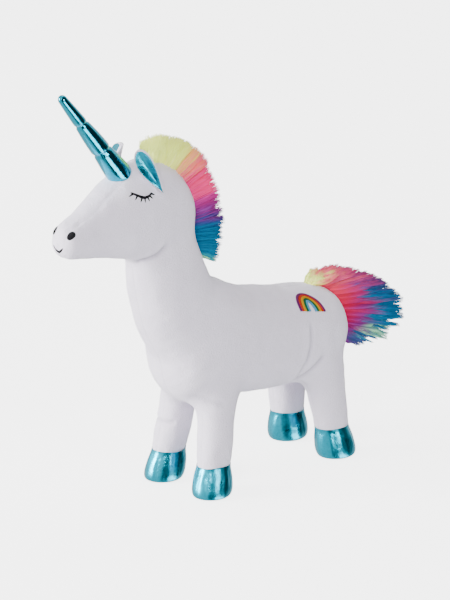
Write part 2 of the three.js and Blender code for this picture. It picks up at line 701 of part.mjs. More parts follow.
// ---------------------------------------------------------------- mane
// The long fur stands on a tape along the centre seam. Each row is a point on the crest line, ahead of
// and above the neck's top, and how far the fur's tips lie behind and above it.
const crest = [
  [22.8, 72.7, -1, 22],
  [6.8, 68.7, 6, 28],
  [-11.2, 58.7, 12, 27],
  [-23.2, 38.7, 22, 21],
  [-29.2, 22.7, 27, 12],
  [-32.2, 6.7, 29, 4],
  [-37.2, -11.3, 25, 1],
  [-42.2, -25.3, 18, -1],
];
const furStarts = { head: { ahead: 18.8, above: 16.7 }, neck: { below: 27.3 } };
const maneSolid = loft(
  crest.map(([ahead, above, dy, dz], i) => {
    const root = fromNeckTop(ahead, above);
    const taper = [0.6, 0.9, 1, 1, 1, 1, 0.9, 0.6][i];
    const reach = new THREE.Vector3(0, dy, dz).multiplyScalar(mane.pile / 30);
    const inward = reach.clone().normalize().multiplyScalar(-9);
    const ring = [];
    const profile = [
      [-0.45, 0, 1],
      [0.45, 0, 1],
      [0.5, 0.5, 0],
      [0.42, 0.85, 0],
      [0.15, 1, 0],
      [-0.15, 1, 0],
      [-0.42, 0.85, 0],
      [-0.5, 0.5, 0],
    ];
    for (const [across, share, sunk] of profile) {
      ring.push(
        new THREE.Vector3(across * mane.width * taper, root.y, root.z)
          .addScaledVector(reach, share)
          .addScaledVector(inward, sunk),
      );
    }
    return ring;
  }),
);
const tapeHalf = mane.tapeWidth / 2;
const tapeRegion = (yLow, yHigh, zLow, zHigh) =>
  boxBetween(new THREE.Vector3(-tapeHalf, yLow, zLow), new THREE.Vector3(tapeHalf, yHigh, zHigh));
const layerOver = (form, sides) => core(form, -(gap + tape), sides).subtract(core(form, -gap, sides, [0, 1], [9, 9]));
const aboveHeadSeat = halfSpace(neckTop.clone().addScaledVector(neckAxis, gap), neckAxis);
const belowNeckTop = halfSpace(neckTop.clone(), neckAxis.clone().negate());
const headTape = core(headForm, -(gap + tape), around)
  .subtract(core(headForm, -gap, around))
  .intersect(tapeRegion(neckTop.y - furStarts.head.ahead, 0, neckTop.z + furStarts.head.above, 400))
  .intersect(aboveHeadSeat);
const neckTape = layerOver(neckForm, around)
  .intersect(tapeRegion(neckBase.y, 0, neckTop.z - furStarts.neck.below, 400))
  .intersect(belowNeckTop);
add("mane_tape_upper", headTape, colours.tape, 0.8);
add("mane_tape_lower", neckTape, colours.tape, 0.8);
const clearOf = gap + tape + gap;
const furOver = maneSolid.subtract(core(headForm, -clearOf, around)).subtract(core(neckForm, -clearOf, around, [0, 1], [9, 9]));
add("mane_fur_upper", furOver.intersect(aboveHeadSeat), colours.maneTop, 1);
add("mane_fur_lower", furOver.intersect(belowNeckTop), colours.maneBase, 1);

// ---------------------------------------------------------------- tail
// The tail is a fan of long fur on a tape down the rump's centre seam; it swings about that seam.
const tailLow = torso.bellyHeight + tail.aboveBelly;
const tailHigh = torso.backHeight - tail.belowBack;
const rumpAt = (z) =>
  skinPoint(torsoForm, new THREE.Vector3(0, torso.centreY + torso.length / 4, z), new THREE.Vector3(0, 1, 0), 0);
const tailTape = core(torsoForm, -(gap + tape), around)
  .subtract(core(torsoForm, -gap, around))
  .intersect(
    boxBetween(
      new THREE.Vector3(-tail.tapeWidth / 2, 0, tailLow),
      new THREE.Vector3(tail.tapeWidth / 2, 400, tailHigh),
    ),
  );
add("tail_tape", tailTape, colours.tape, 0.8);
const tailRoot = new THREE.Vector3(0, torso.centreY + torso.length / 2 + gap + tape + gap + 2, 0);
const fan = [
  [0, 0.5, 0.16],
  [0.15, 0.64, 0.5],
  [0.4, 0.86, 0.9],
  [0.65, 1, 1],
  [0.85, 0.86, 0.9],
  [0.96, 0.6, 0.62],
  [1, 0.34, 0.34],
];
const tailMiddle = (tailLow + tailHigh) / 2;
const tailForm = makeForm(
  fan.map(([share, tall, wide]) => ({
    y: tailRoot.y + share * tail.length,
    z: tailMiddle - tail.drop * share,
    hx: (wide * tail.width) / 2,
    hd: (tall * tail.height) / 2,
    power: 2.2,
    tilt: 90,
  })),
  7,
);
add("tail_fur", core(tailForm, 0, aroundLeg), colours.tail, 1);

// The origin is the middle of the footprint of the whole, on the floor.
const bounds = new THREE.Box3().setFromObject(model);
const origin = bounds.getCenter(new THREE.Vector3());
for (const mesh of model.children) mesh.geometry.translate(-origin.x, -origin.y, -bounds.min.z);

export default model;
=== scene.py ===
import json
import math
import bpy
import numpy as np
from mathutils import Matrix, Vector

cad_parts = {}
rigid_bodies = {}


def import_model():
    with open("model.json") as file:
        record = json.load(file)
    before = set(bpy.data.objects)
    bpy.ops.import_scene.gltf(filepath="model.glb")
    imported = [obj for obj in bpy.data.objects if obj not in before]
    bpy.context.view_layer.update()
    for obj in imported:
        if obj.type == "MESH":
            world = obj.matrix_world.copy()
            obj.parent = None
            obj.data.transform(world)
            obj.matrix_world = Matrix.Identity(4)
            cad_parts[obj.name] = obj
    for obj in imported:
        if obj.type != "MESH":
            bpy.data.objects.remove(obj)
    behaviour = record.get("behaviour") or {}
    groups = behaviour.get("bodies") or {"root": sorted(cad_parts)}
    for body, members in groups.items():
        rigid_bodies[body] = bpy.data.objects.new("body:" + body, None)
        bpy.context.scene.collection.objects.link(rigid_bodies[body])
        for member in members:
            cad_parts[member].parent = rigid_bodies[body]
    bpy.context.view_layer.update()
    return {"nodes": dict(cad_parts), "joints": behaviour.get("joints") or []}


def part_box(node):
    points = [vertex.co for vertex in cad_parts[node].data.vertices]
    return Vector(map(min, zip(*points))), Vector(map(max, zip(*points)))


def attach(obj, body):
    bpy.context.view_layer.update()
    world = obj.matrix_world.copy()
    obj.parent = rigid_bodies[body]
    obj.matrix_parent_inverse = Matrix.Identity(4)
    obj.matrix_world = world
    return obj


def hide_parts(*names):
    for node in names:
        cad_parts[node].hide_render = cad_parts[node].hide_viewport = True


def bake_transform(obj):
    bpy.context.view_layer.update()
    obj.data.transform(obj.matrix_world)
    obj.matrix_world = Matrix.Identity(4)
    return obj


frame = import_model()

# Millimetres are used below: x to the unicorn's left, y towards the tail from the middle of the hooves, z up.
soles = [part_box(n) for n in frame["nodes"] if n.endswith("_sole")]
middleY = float(np.mean([(low.y + high.y) / 2 for low, high in soles])) * 1000
axisX = np.array([1.0, 0, 0])


# Row position in metres is the millimetre position moved by the middle of the hooves.
def toRow(points):
    return (np.asarray(points, float) + [0, middleY, 0]) / 1000


# The reverse, for a point that the CAD gives in metres.
def fromRow(point):
    return np.array(point, float) * 1000 - [0, middleY, 0]


# A vector divided by its length.
def unit(v):
    v = np.asarray(v, float)
    return v / np.maximum(np.linalg.norm(v, axis=-1, keepdims=True), 1e-9)


# Smooth step: 3t^2 - 2t^3 with t clipped to 0..1 between two values.
def smooth(a, b, x):
    t = np.clip((np.asarray(x, float) - a) / (b - a), 0, 1)
    return t * t * (3 - 2 * t)


# Catmull-Rom curve through the rows of a table, at places counted in rows.
def through(table, places):
    table = np.asarray(table, float)
    places = np.clip(places, 0, len(table) - 1 - 1e-9)
    i = places.astype(int)
    t = (places - i)[:, None]
    at = lambda k: table[np.clip(i + k, 0, len(table) - 1)]
    a, b, c, d = at(-1), at(0), at(1), at(2)
    return 0.5 * (2 * b + (c - a) * t + (2 * a - 5 * b + 4 * c - d) * t**2 + (3 * b - a - 3 * c + d) * t**3)


# Value noise: a sum of sines of random direction, smooth and repeatable, about -1..1.
def ripple(points, size, seed, waves=9):
    r = np.random.default_rng(seed)
    ways = unit(r.normal(size=(waves, 3))) * (2 * math.pi / size) * r.uniform(0.6, 1.5, (waves, 1))
    phases = r.uniform(0, 2 * math.pi, waves)
    return np.sin(points @ ways.T + phases).sum(1) / math.sqrt(waves)


# A smooth mesh from points and one or more lists of faces, each list of equal corner count.
def meshFrom(name, points, faceLists):
    mesh = bpy.data.meshes.new(name)
    faceLists = [f for f in faceLists if len(f)]
    loops = np.concatenate([np.asarray(f).ravel() for f in faceLists]).astype(np.int32)
    totals = np.concatenate([np.full(len(f), np.asarray(f).shape[1]) for f in faceLists]).astype(np.int32)
    starts = np.concatenate([[0], np.cumsum(totals)[:-1]]).astype(np.int32)
    points = toRow(points)
    mesh.vertices.add(len(points))
    mesh.vertices.foreach_set("co", points.astype(np.float32).ravel())
    mesh.loops.add(len(loops))
    mesh.loops.foreach_set("vertex_index", loops)
    mesh.polygons.add(len(totals))
    mesh.polygons.foreach_set("loop_start", starts)
    mesh.polygons.foreach_set("loop_total", totals)
    mesh.polygons.foreach_set("use_smooth", np.full(len(totals), True))
    mesh.update(calc_edges=True)
    mesh.validate()
    piece = bpy.data.objects.new(name, mesh)
    bpy.context.scene.collection.objects.link(piece)
    return piece


# Faces of a grid of rows by columns, with the last column joined to the first.
def gridFaces(rows, columns):
    i = np.arange(rows - 1)[:, None]
    j = np.arange(columns)[None, :]
    n = (j + 1) % columns
    a, b, c, d = i * columns + j, i * columns + n, (i + 1) * columns + n, (i + 1) * columns + j
    return np.stack([a, b, c, d], -1).reshape(-1, 4)


# A closed tube: grid of rings (rows, columns, 3) with a middle point at each end.
def closedTube(rings, offset=0, flip=False):
    rows, columns, _ = rings.shape
    points = np.concatenate([rings.reshape(-1, 3), rings[:1].mean(1), rings[-1:].mean(1)])
    j = np.arange(columns)
    n = (j + 1) % columns
    first, last = rows * columns, rows * columns + 1
    quads = gridFaces(rows, columns)
    start = np.stack([np.full(columns, first), n, j], -1)
    end = np.stack([np.full(columns, last), (rows - 1) * columns + j, (rows - 1) * columns + n], -1)
    triangles = np.concatenate([start, end])
    if flip:
        quads, triangles = quads[:, ::-1], triangles[:, ::-1]
    return points, quads + offset, triangles + offset


# A named value at each point.
def attribute(piece, name, values, kind="FLOAT"):
    made = piece.data.attributes.new(name, kind, "POINT")
    key = "value" if kind == "FLOAT" else "color" if kind == "FLOAT_COLOR" else "vector"
    made.data.foreach_set(key, np.asarray(values, np.float32).ravel())


# The points of a piece, in millimetres.
def readPoints(piece):
    co = np.zeros(len(piece.data.vertices) * 3, np.float32)
    piece.data.vertices.foreach_get("co", co)
    return fromRow(co.reshape(-1, 3))


# Materials.
def newMaterial(name, colour=(0.8, 0.8, 0.8), roughness=0.8, metallic=0.0, **sockets):
    material = bpy.data.materials.new(name)
    material.use_nodes = True
    shader = material.node_tree.nodes["Principled BSDF"]
    shader.inputs["Base Color"].default_value = (*colour, 1)
    shader.inputs["Roughness"].default_value = roughness
    shader.inputs["Metallic"].default_value = metallic
    for key, value in sockets.items():
        shader.inputs[key.replace("_", " ").title().replace("Ior", "IOR")].default_value = value
    return material, material.node_tree, shader


# One socket joined to another.
def link(tree, a, b):
    tree.links.new(a, b)


# A node with its settings and unlinked inputs given by name.
def addNode(tree, kind, **values):
    node = tree.nodes.new(kind)
    for key, value in values.items():
        if hasattr(node, key):
            setattr(node, key, value)
        else:
            node.inputs[key.replace("_", " ")].default_value = value
    return node


# Mix of two colours by a factor, as linked sockets or plain values.
def mixColour(tree, factor, a, b, blend="MIX"):
    node = tree.nodes.new("ShaderNodeMix")
    node.data_type = "RGBA"
    node.blend_type = blend
    for socket, value in ((node.inputs[0], factor), (node.inputs[6], a), (node.inputs[7], b)):
        if isinstance(value, bpy.types.NodeSocket):
            link(tree, value, socket)
        elif isinstance(value, tuple):
            socket.default_value = (*value, 1)
        else:
            socket.default_value = value
    return node.outputs[2]


# A value squeezed from one range to another.
def remap(tree, value, a, b, c=0.0, d=1.0):
    node = addNode(tree, "ShaderNodeMapRange")
    for i, v in ((1, a), (2, b), (3, c), (4, d)):
        node.inputs[i].default_value = v
    link(tree, value, node.inputs[0])
    return node.outputs[0]


# A value stored on the points.
def readAttribute(tree, name, output="Fac"):
    return addNode(tree, "ShaderNodeAttribute", attribute_name=name).outputs[output]


# Short pile: fine and coarse noise as height, with broad mottling as a mask.
def pileGroup():
    group = bpy.data.node_groups.new("shortPile", "ShaderNodeTree")
    face = group.interface
    face.new_socket("Scale", in_out="INPUT", socket_type="NodeSocketFloat").default_value = 1
    face.new_socket("Height", in_out="OUTPUT", socket_type="NodeSocketFloat")
    face.new_socket("Mottle", in_out="OUTPUT", socket_type="NodeSocketFloat")
    face.new_socket("Fleck", in_out="OUTPUT", socket_type="NodeSocketFloat")
    start = group.nodes.new("NodeGroupInput")
    end = group.nodes.new("NodeGroupOutput")
    place = group.nodes.new("ShaderNodeTexCoord")
    sized = group.nodes.new("ShaderNodeVectorMath")
    sized.operation = "SCALE"
    link(group, place.outputs["Object"], sized.inputs[0])
    link(group, start.outputs["Scale"], sized.inputs["Scale"])
    fine = addNode(group, "ShaderNodeTexNoise", Scale=900, Detail=3, Roughness=0.65)
    coarse = addNode(group, "ShaderNodeTexNoise", Scale=230, Detail=2, Roughness=0.5, Distortion=1.2)
    broad = addNode(group, "ShaderNodeTexNoise", Scale=38, Detail=3, Roughness=0.55)
    for node in (fine, coarse, broad):
        link(group, sized.outputs[0], node.inputs["Vector"])
    total = group.nodes.new("ShaderNodeMath")
    total.operation = "MULTIPLY_ADD"
    total.inputs[1].default_value = 0.6
    link(group, coarse.outputs["Fac"], total.inputs[0])
    link(group, fine.outputs["Fac"], total.inputs[2])
    link(group, total.outputs[0], end.inputs["Height"])
    link(group, broad.outputs["Fac"], end.inputs["Mottle"])
    link(group, fine.outputs["Fac"], end.inputs["Fleck"])
    return group


pile = pileGroup()


# The short pile group at a size.
def usePile(tree, scale=1.0):
    node = tree.nodes.new("ShaderNodeGroup")
    node.node_tree = pile
    node.inputs["Scale"].default_value = scale
    return node


# A normal bent by a height, on top of an earlier normal if there is one.
def bumpOf(tree, height, distance, strength=1.0, before=None):
    bump = tree.nodes.new("ShaderNodeBump")
    bump.inputs["Strength"].default_value = strength
    bump.inputs["Distance"].default_value = distance
    link(tree, height, bump.inputs["Height"])
    if before:
        link(tree, before, bump.inputs["Normal"])
    return bump.outputs["Normal"]


# The stuffed body, in millimetres.
body = {
    "chestY": -104.0, "length": 200.0, "belly": 67.0, "depth": 89.0, "width": 84.0,
    "noseY": -221.5, "headLength": 152.0, "jawZ": 216.0, "headHeight": 90.0, "headWidth": 57.0,
    "neckBase": np.array([0, -80.0, 165.0]), "neckLean": math.radians(20), "neckLength": 62.0,
    "voxel": 3.4, "inset": 1.3, "puffCap": 3.2, "puffFrames": 20, "pressure": 4.0,
}
# Rows: share of length, low and high as shares of the depth, half width share, power of the outline.
torsoRows = [
    [0, 0.6, 0.76, 0.12, 2], [0.015, 0.4, 0.98, 0.46, 2], [0.055, 0.21, 1.2, 0.76, 2.2],
    [0.13, 0.1, 1.34, 0.94, 2.3], [0.23, 0.08, 1.36, 1, 2.4], [0.33, 0.07, 1.26, 1, 2.3],
    [0.44, 0.04, 1.13, 0.98, 2.2], [0.56, 0, 1.05, 0.97, 2.2], [0.68, -0.01, 0.98, 0.97, 2.2],
    [0.8, 0, 0.93, 0.98, 2.3], [0.9, 0.05, 0.88, 0.89, 2.2], [0.96, 0.17, 0.79, 0.68, 2.1],
    [0.988, 0.3, 0.67, 0.42, 2], [1, 0.42, 0.54, 0.12, 2],
]
headRows = [
    [0, 0.28, 0.4, 0.12, 2], [0.02, 0.12, 0.56, 0.44, 2], [0.07, -0.05, 0.7, 0.68, 2],
    [0.15, -0.16, 0.85, 0.84, 2.1], [0.27, -0.13, 0.98, 0.95, 2.1], [0.4, -0.02, 1.01, 1, 2.1],
    [0.53, 0.05, 0.95, 0.96, 2.1], [0.66, 0.12, 0.84, 0.82, 2.1], [0.79, 0.17, 0.71, 0.68, 2.1],
    [0.9, 0.2, 0.62, 0.62, 2.1], [0.96, 0.23, 0.58, 0.54, 2], [0.988, 0.29, 0.52, 0.36, 2],
    [1, 0.37, 0.44, 0.12, 2],
]
neckAxis = np.array([0, -math.sin(body["neckLean"]), math.cos(body["neckLean"])])
neckTop = body["neckBase"] + neckAxis * body["neckLength"]


# Superellipse rings: middle + across * hx * cos^(2/p) + up * hd * sin^(2/p).
def rings(middles, ups, hx, hd, power, sides=40):
    angle = (np.arange(sides) + 0.5) / sides * 2 * math.pi
    c, s = np.cos(angle)[None], np.sin(angle)[None]
    bend = 2 / np.asarray(power, float)[:, None]
    across = np.sign(c) * np.abs(c) ** bend * np.asarray(hx)[:, None]
    rise = np.sign(s) * np.abs(s) ** bend * np.asarray(hd)[:, None]
    return middles[:, None] + across[..., None] * axisX + rise[..., None] * ups[:, None]


# Upright sections along y, from a table of shares.
def uprightForm(rows, startY, length, low, depth, width, inset, steps=60):
    r = through(rows, np.linspace(0, len(rows) - 1, steps))
    bottom, top = low + r[:, 1] * depth + inset, low + r[:, 2] * depth - inset
    middles = np.stack([0 * r[:, 0], startY + r[:, 0] * length, (bottom + top) / 2], -1)
    ups = np.tile([0, 0, 1.0], (steps, 1))
    return rings(
        middles, ups, np.maximum(r[:, 3] * width / 2 - inset, 1), np.maximum((top - bottom) / 2, 1), r[:, 4]
    )


# Sections square to the y-z direction given, between two points.
def slantForm(a, b, sizes, lean, level=False, steps=16):
    t = np.linspace(0, 1, steps)
    size = through(sizes, t * (len(sizes) - 1))
    middles = np.asarray(a)[None] * (
        1 - t[:, None]
    ) + np.asarray(b)[None] * t[:, None] - size[:, 2:3] * [0, 1, 0]
    up = [0, 1.0, 0] if level else [0, math.cos(lean), math.sin(lean)]
    return rings(middles, np.tile(up, (steps, 1)), size[:, 0], size[:, 1], np.full(steps, 2.1))


hoofTop = 26.0
inset = body["inset"]
stance = {"hipX": 22.0, "hipHeight": 84.0, "footX": 29.7}
legs = {}
for end, hipY, hoofY, topY in (("front", -58.0, -72.5, 21.0), ("rear", 62.0, 72.5, 25.0)):
    for side, sign in (("left", 1), ("right", -1)):
        legs[f"{end}_{side}"] = {
            "sign": sign, "hip": np.array([sign * stance["hipX"], hipY, stance["hipHeight"]]),
            "foot": np.array([sign * stance["footX"], hoofY, 0.0]), "topY": topY
        }


# The middle of a leg at a height: the straight line from its foot to its hip.
def legPoint(leg, z):
    return leg["hip"] + (leg["foot"] - leg["hip"]) * (1 - z / stance["hipHeight"])


# Torso, head, neck and legs as closed forms, joined into one skin by a voxel remesh.
def buildBody():
    forms = [
        uprightForm(
            torsoRows, body["chestY"], body["length"], body["belly"], body["depth"], body["width"], inset
        ),
        uprightForm(
            headRows, body["noseY"] + body["headLength"], -body["headLength"], body["jawZ"],
            body["headHeight"], body["headWidth"], inset
        )[::-1],
        slantForm(
            body["neckBase"] - neckAxis * 58, neckTop + neckAxis * 14,
            [[22, 22, 0], [32, 36, 3], [33.5, 38.5, 6.5], [30.5, 37, 7], [27, 35, 5.5], [23, 31, 2]],
            body["neckLean"], steps=30
        ),
    ]
    for leg in legs.values():
        top, ankle = leg["topY"], 16.6
        sizes = [
            [17 - inset, top - 2, 0], [17.2 - inset, top - inset, 0],
            [16.4 - inset, (top + ankle) / 2 - inset, 0], [15.4 - inset, ankle + 0.9 - inset, 0],
            [14.4 - inset, ankle - inset, 0]
        ]
        forms.append(slantForm(legPoint(leg, 108), legPoint(leg, 12), sizes, 0, level=True)[::-1])
    points, quads, triangles, offset = [], [], [], 0
    for form in forms:
        p, q, t = closedTube(form, offset)
        points.append(p), quads.append(q), triangles.append(t)
        offset += len(p)
    piece = meshFrom("body", np.concatenate(points), [np.concatenate(quads), np.concatenate(triangles)])
    remesh = piece.modifiers.new("remesh", "REMESH")
    remesh.mode = "VOXEL"
    remesh.voxel_size = body["voxel"] / 1000
    remesh.use_smooth_shade = True
    return applied(piece)


# The piece with its modifiers made part of its mesh.
def applied(piece):
    graph = bpy.context.evaluated_depsgraph_get()
    mesh = bpy.data.meshes.new_from_object(piece.evaluated_get(graph), depsgraph=graph)
    old = piece.data
    piece.modifiers.clear()
    piece.data = mesh
    bpy.data.meshes.remove(old)
    return piece


# The point pairs of the edges.
def edgesOf(piece):
    e = np.zeros(len(piece.data.edges) * 2, np.int32)
    piece.data.edges.foreach_get("vertices", e)
    return e.reshape(-1, 2)


# Each point moves towards the mean of its neighbours by the weight.
def relax(points, edges, weight, times):
    count = np.bincount(edges.ravel(), minlength=len(points)).astype(float)[:, None]
    weight = np.broadcast_to(weight, len(points))[:, None]
    ends = [(edges[:, 0], edges[:, 1]), (edges[:, 1], edges[:, 0])]
    for _ in range(times):
        total = np.stack(
            [sum(np.bincount(a, points[b, k], len(points)) for a, b in ends) for k in range(3)], -1
        )
        points = points + weight * (total / count - points)
    return points


# Nearness to the places where one form grows out of another, 1 on them and 0 away from them.
def junctions(p):
    along = (p - body["neckBase"]) @ neckAxis
    near = np.exp(-((along + 8) / 26) ** 2) * (1 - 0.8 * smooth(-85, -62, p[:, 1])) * (p[:, 1] < 0)
    throat = np.exp(-(((p - neckTop) @ neckAxis) / 13) ** 2) * (p[:, 1] < -60)
    result = np.maximum(near, throat * 0.9)
    for leg in legs.values():
        away = np.linalg.norm((p - legPoint(leg, 76)) * [1, 0.8, 1.15], axis=1)
        result = np.maximum(result, (1 - smooth(17, 40, away)) * (np.abs(p[:, 2] - 76) < 34))
    return result


# Soft creases: points in y and z on each side, with depth, width and which half of the body has them.
folds = [
    {
        "path": [[-147, 214], [-138, 220], [-125, 226], [-114, 236]], "depth": 3.0, "width": 2.2,
        "sides": (1, -1), "least": 8, "swell": 1.2
    },
    {
        "path": [[36.5, 132], [35.5, 118], [33, 101], [28, 82], [26, 70]], "depth": 2.1, "width": 1.6,
        "sides": (1, -1), "least": 12, "swell": 0.5
    },
    {
        "path": [[52, 98], [40, 86], [27, 74]], "depth": 3.0, "width": 2.0, "sides": (1, -1), "least": 12,
        "swell": 0.8
    },
    {
        "path": [[-92, 51], [-80, 53], [-64, 55]], "depth": 1.9, "width": 1.4, "sides": (-1,), "least": 14,
        "swell": 0.4
    },
    {
        "path": [[-88, 92], [-74, 84], [-62, 80]], "depth": 1.0, "width": 3.0, "sides": (1, -1),
        "least": 10, "swell": 0.3
    },
]


# Signed height of the creases: a groove along each path, a low swell beside it, fading at both ends.
def foldHeight(p):
    total = np.zeros(len(p))
    for fold in folds:
        path = np.array(fold["path"], float)
        best = np.full(len(p), 99.0)
        share = np.zeros(len(p))
        over = np.zeros(len(p))
        for k, (a, b) in enumerate(zip(path[:-1], path[1:])):
            t = np.clip(((p[:, 1:] - a) @ (b - a)) / ((b - a) @ (b - a)), 0, 1)
            away = p[:, 1:] - (a + t[:, None] * (b - a))
            d = np.linalg.norm(away, axis=1)
            better = d < best
            best = np.where(better, d, best)
            share = np.where(better, (k + t) / (len(path) - 1), share)
            over = np.where(better, away[:, 1], over)
        onSide = sum(((p[:, 0] * sign) > fold["least"]) for sign in fold["sides"])
        here = onSide * smooth(0, 0.2, share) * (1 - smooth(0.8, 1, share))
        groove = -fold["depth"] * np.exp(-((best / fold["width"]) ** 2))
        swell = fold["swell"] * np.exp(-(((best - 5) / 4) ** 2)) * (over > 0)
        total += here * (groove + swell)
    return total


# Distance in millimetres to the nearest sewn seam of the pattern.
def seamDistance(p):
    x, y, z = p.T
    side = np.abs(x)
    inHead = ((p - neckTop) @ neckAxis > 0) & (y < -60)
    headMiddle = body["jawZ"] + body["headHeight"] * 0.42
    gusset = 9.5 - 3.0 * smooth(-185, -222, y)
    onFace = inHead & (z > headMiddle - 2) & (y < -150)
    d = np.where(onFace, np.abs(side - gusset), 99.0)
    d = np.minimum(d, np.where(inHead & (z < headMiddle) & (y < -120), side, 99))
    d = np.minimum(d, np.where(inHead & (y > -150) & (z > headMiddle), side, 99))
    torsoMiddle = 113
    d = np.minimum(d, np.where(~inHead & (z > torsoMiddle), side, 99))
    d = np.minimum(d, np.where(~inHead & (y < -85) & (z > 80), side, 99))
    d = np.minimum(d, np.where(~inHead & (y > 80) & (z > 86), side, 99))
    belly = 20 - 6 * smooth(60, 96, y) - 6 * smooth(-80, -104, y)
    between = (z < 92) & (z > 62)
    d = np.minimum(d, np.where(between & (np.abs(y - 2) < 30), np.abs(side - belly), 99))
    for leg in legs.values():
        axis = unit(leg["foot"] - leg["hip"])
        normal = unit(np.cross([0, 1.0, 0], axis))
        inLeg = (x * leg["sign"] > 2) & (np.abs(y - legPoint(leg, 50)[1]) < 34) & (z < 74)
        d = np.minimum(d, np.where(inLeg, np.abs((p - leg["hip"]) @ normal), 99))
        d = np.minimum(d, np.where(z < 40, np.abs(z - hoofTop), 99))
    return d


print("body: union")
skin = buildBody()
points = readPoints(skin)
edges = edgesOf(skin)
weight = 0.12 + 0.75 * junctions(points)
points = relax(points, edges, np.clip(weight, 0, 0.9), 14)
skin.data.vertices.foreach_set("co", toRow(points).astype(np.float32).ravel())


# Cloth with inner pressure puffs each panel between its seams, which are pinned; the move is capped.
def puff(piece, cap):
    start = readPoints(piece)
    seam = seamDistance(start)
    pinned = (seam < 2.2) | (start[:, 2] < 22)
    group = piece.vertex_groups.new(name="pins")
    group.add(np.nonzero(pinned)[0].tolist(), 1.0, "REPLACE")
    cloth = piece.modifiers.new("cloth", "CLOTH")
    settings = cloth.settings
    settings.quality = 5
    settings.mass = 0.2
    settings.tension_stiffness = settings.compression_stiffness = 12
    settings.shear_stiffness = 4
    settings.bending_stiffness = 0.4
    settings.use_pressure = True
    settings.uniform_pressure_force = body["pressure"]
    settings.effector_weights.gravity = 0
    settings.vertex_group_mass = "pins"
    cloth.collision_settings.use_collision = False
    scene = bpy.context.scene
    for number in range(1, body["puffFrames"] + 1):
        scene.frame_set(number)
    applied(piece)
    scene.frame_set(1)
    moved = readPoints(piece) - start
    size = np.linalg.norm(moved, axis=1, keepdims=True)
    moved = moved / np.maximum(size, 1e-6) * cap * np.tanh(size / cap)
    piece.vertex_groups.clear()
    piece.data.vertices.foreach_set("co", toRow(start + moved).astype(np.float32).ravel())


puff(skin, body["puffCap"])
print("body: puffed")
points = relax(readPoints(skin), edges, 0.3, 2)
skin.data.vertices.foreach_set("co", toRow(points).astype(np.float32).ravel())
finer = skin.modifiers.new("finer", "SUBSURF")
finer.levels = finer.render_levels = 1
applied(skin)
points = readPoints(skin)
polygons = np.zeros(len(skin.data.polygons) * 4, np.int32)
skin.data.polygons.foreach_get("vertices", polygons)
polygons = polygons.reshape(-1, 4)


# Normal at each point: the sum of its faces' cross products, made unit.
def pointNormals(points, faces):
    n = np.cross(points[faces[:, 2]] - points[faces[:, 0]], points[faces[:, 3]] - points[faces[:, 1]])
    total = np.stack(
        [sum(np.bincount(faces[:, k], n[:, c], len(points)) for k in range(4)) for c in range(3)], -1
    )
    return unit(total)


normals = pointNormals(points, polygons)
seam = seamDistance(points)
puckers = 0.5 + 0.5 * ripple(points, 5.5, 3)
seams = {"groove": 0.45, "grooveWidth": 1.5, "pucker": 0.28, "puckerWidth": 4.5, "creaseDepth": 2.2}
groove = seams["groove"] * np.exp(-((seam / seams["grooveWidth"]) ** 2))
depth = groove + seams["pucker"] * puckers * np.exp(-((seam / seams["puckerWidth"]) ** 2))
soft = 0.22 * ripple(points, 26, 5) + 0.1 * ripple(points, 11, 6)
height = foldHeight(points)
# How deep each point sits in a crease, kept so that shade can be painted into the colour below.
crease = np.clip(-height / seams["creaseDepth"], 0, 1)
points = points + normals * (soft - depth + height)[:, None]
normals = pointNormals(points, polygons)

plush, tree, shader = newMaterial(
    "plushWhite", (0.8, 0.8, 0.84), 0.95, sheen_weight=0.35, sheen_roughness=0.45
)
piled = usePile(tree)
colour = mixColour(
    tree, remap(tree, piled.outputs["Mottle"], 0.3, 0.7), (0.86, 0.795, 0.92), (0.93, 0.87, 0.99)
)
colour = mixColour(
    tree, remap(tree, piled.outputs["Fleck"], 0.35, 0.65, 0.0, 0.3), colour, (0.78, 0.71, 0.85)
)
seamLine = remap(tree, readAttribute(tree, "seam"), 0.1, 1.0, 0.25, 0.0)
colour = mixColour(tree, seamLine, colour, (0.5, 0.46, 0.56))
# Painted shade: the colour darkens in the creases, where shade falls.
colour = mixColour(
    tree, remap(tree, readAttribute(tree, "crease"), 0, 1, 0.0, 0.5), colour, (0.42, 0.38, 0.48)
)
link(tree, colour, shader.inputs["Base Color"])
link(tree, bumpOf(tree, piled.outputs["Height"], 0.0009, 0.8), shader.inputs["Normal"])


# Cut by region: each piece keeps the faces whose middle is in it, with the whole body's normals.
def cutPiece(name, faces, keep, material):
    chosen = faces[keep]
    used, index = np.unique(chosen, return_inverse=True)
    piece = meshFrom(name, points[used], [index.reshape(-1, 4)])
    piece.data.normals_split_custom_set_from_vertices(normals[used].tolist())
    attribute(piece, "seam", seam[used])
    attribute(piece, "crease", crease[used])
    piece.data.materials.append(material)
    return piece


middles = points[polygons].mean(1)
neckCut = (middles - body["neckBase"]) @ neckAxis > 26
upper = neckCut & (middles[:, 1] < -30)
region = np.where(upper, 1, 0)
legCut = {"along": unit([0.514, 0, -0.857]), "through": np.array([10.0, 0, 61.0])}
for number, (name, leg) in enumerate(legs.items(), start=2):
    onLeft = middles * [leg["sign"], 1, 1]
    below = (onLeft - legCut["through"]) @ legCut["along"] > 0
    region[
        below & (onLeft[:, 0] > 0) & (
            np.abs(middles[:, 1] - leg["hip"][1]) < 60
        ) & (middles[:, 2] < 95) & ~upper
    ] = number
torsoSkin = cutPiece("torso_skin", polygons, region == 0, plush)
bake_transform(torsoSkin)
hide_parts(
    "torso_left_panel", "torso_right_panel", "belly_panel", "torso_stuffing", "neck_left_panel",
    "neck_right_panel", "neck_stuffing"
)
headSkin = cutPiece("head_skin", polygons, region == 1, plush)
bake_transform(headSkin)
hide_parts("head_left_panel", "head_right_panel", "forehead_gusset", "head_stuffing")
for number, (name, leg) in enumerate(legs.items(), start=2):
    piece = cutPiece(f"leg_{name}_skin", polygons, region == number, plush)
    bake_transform(piece)
    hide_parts(f"leg_{name}_outer_panel", f"leg_{name}_inner_panel", f"leg_{name}_stuffing")
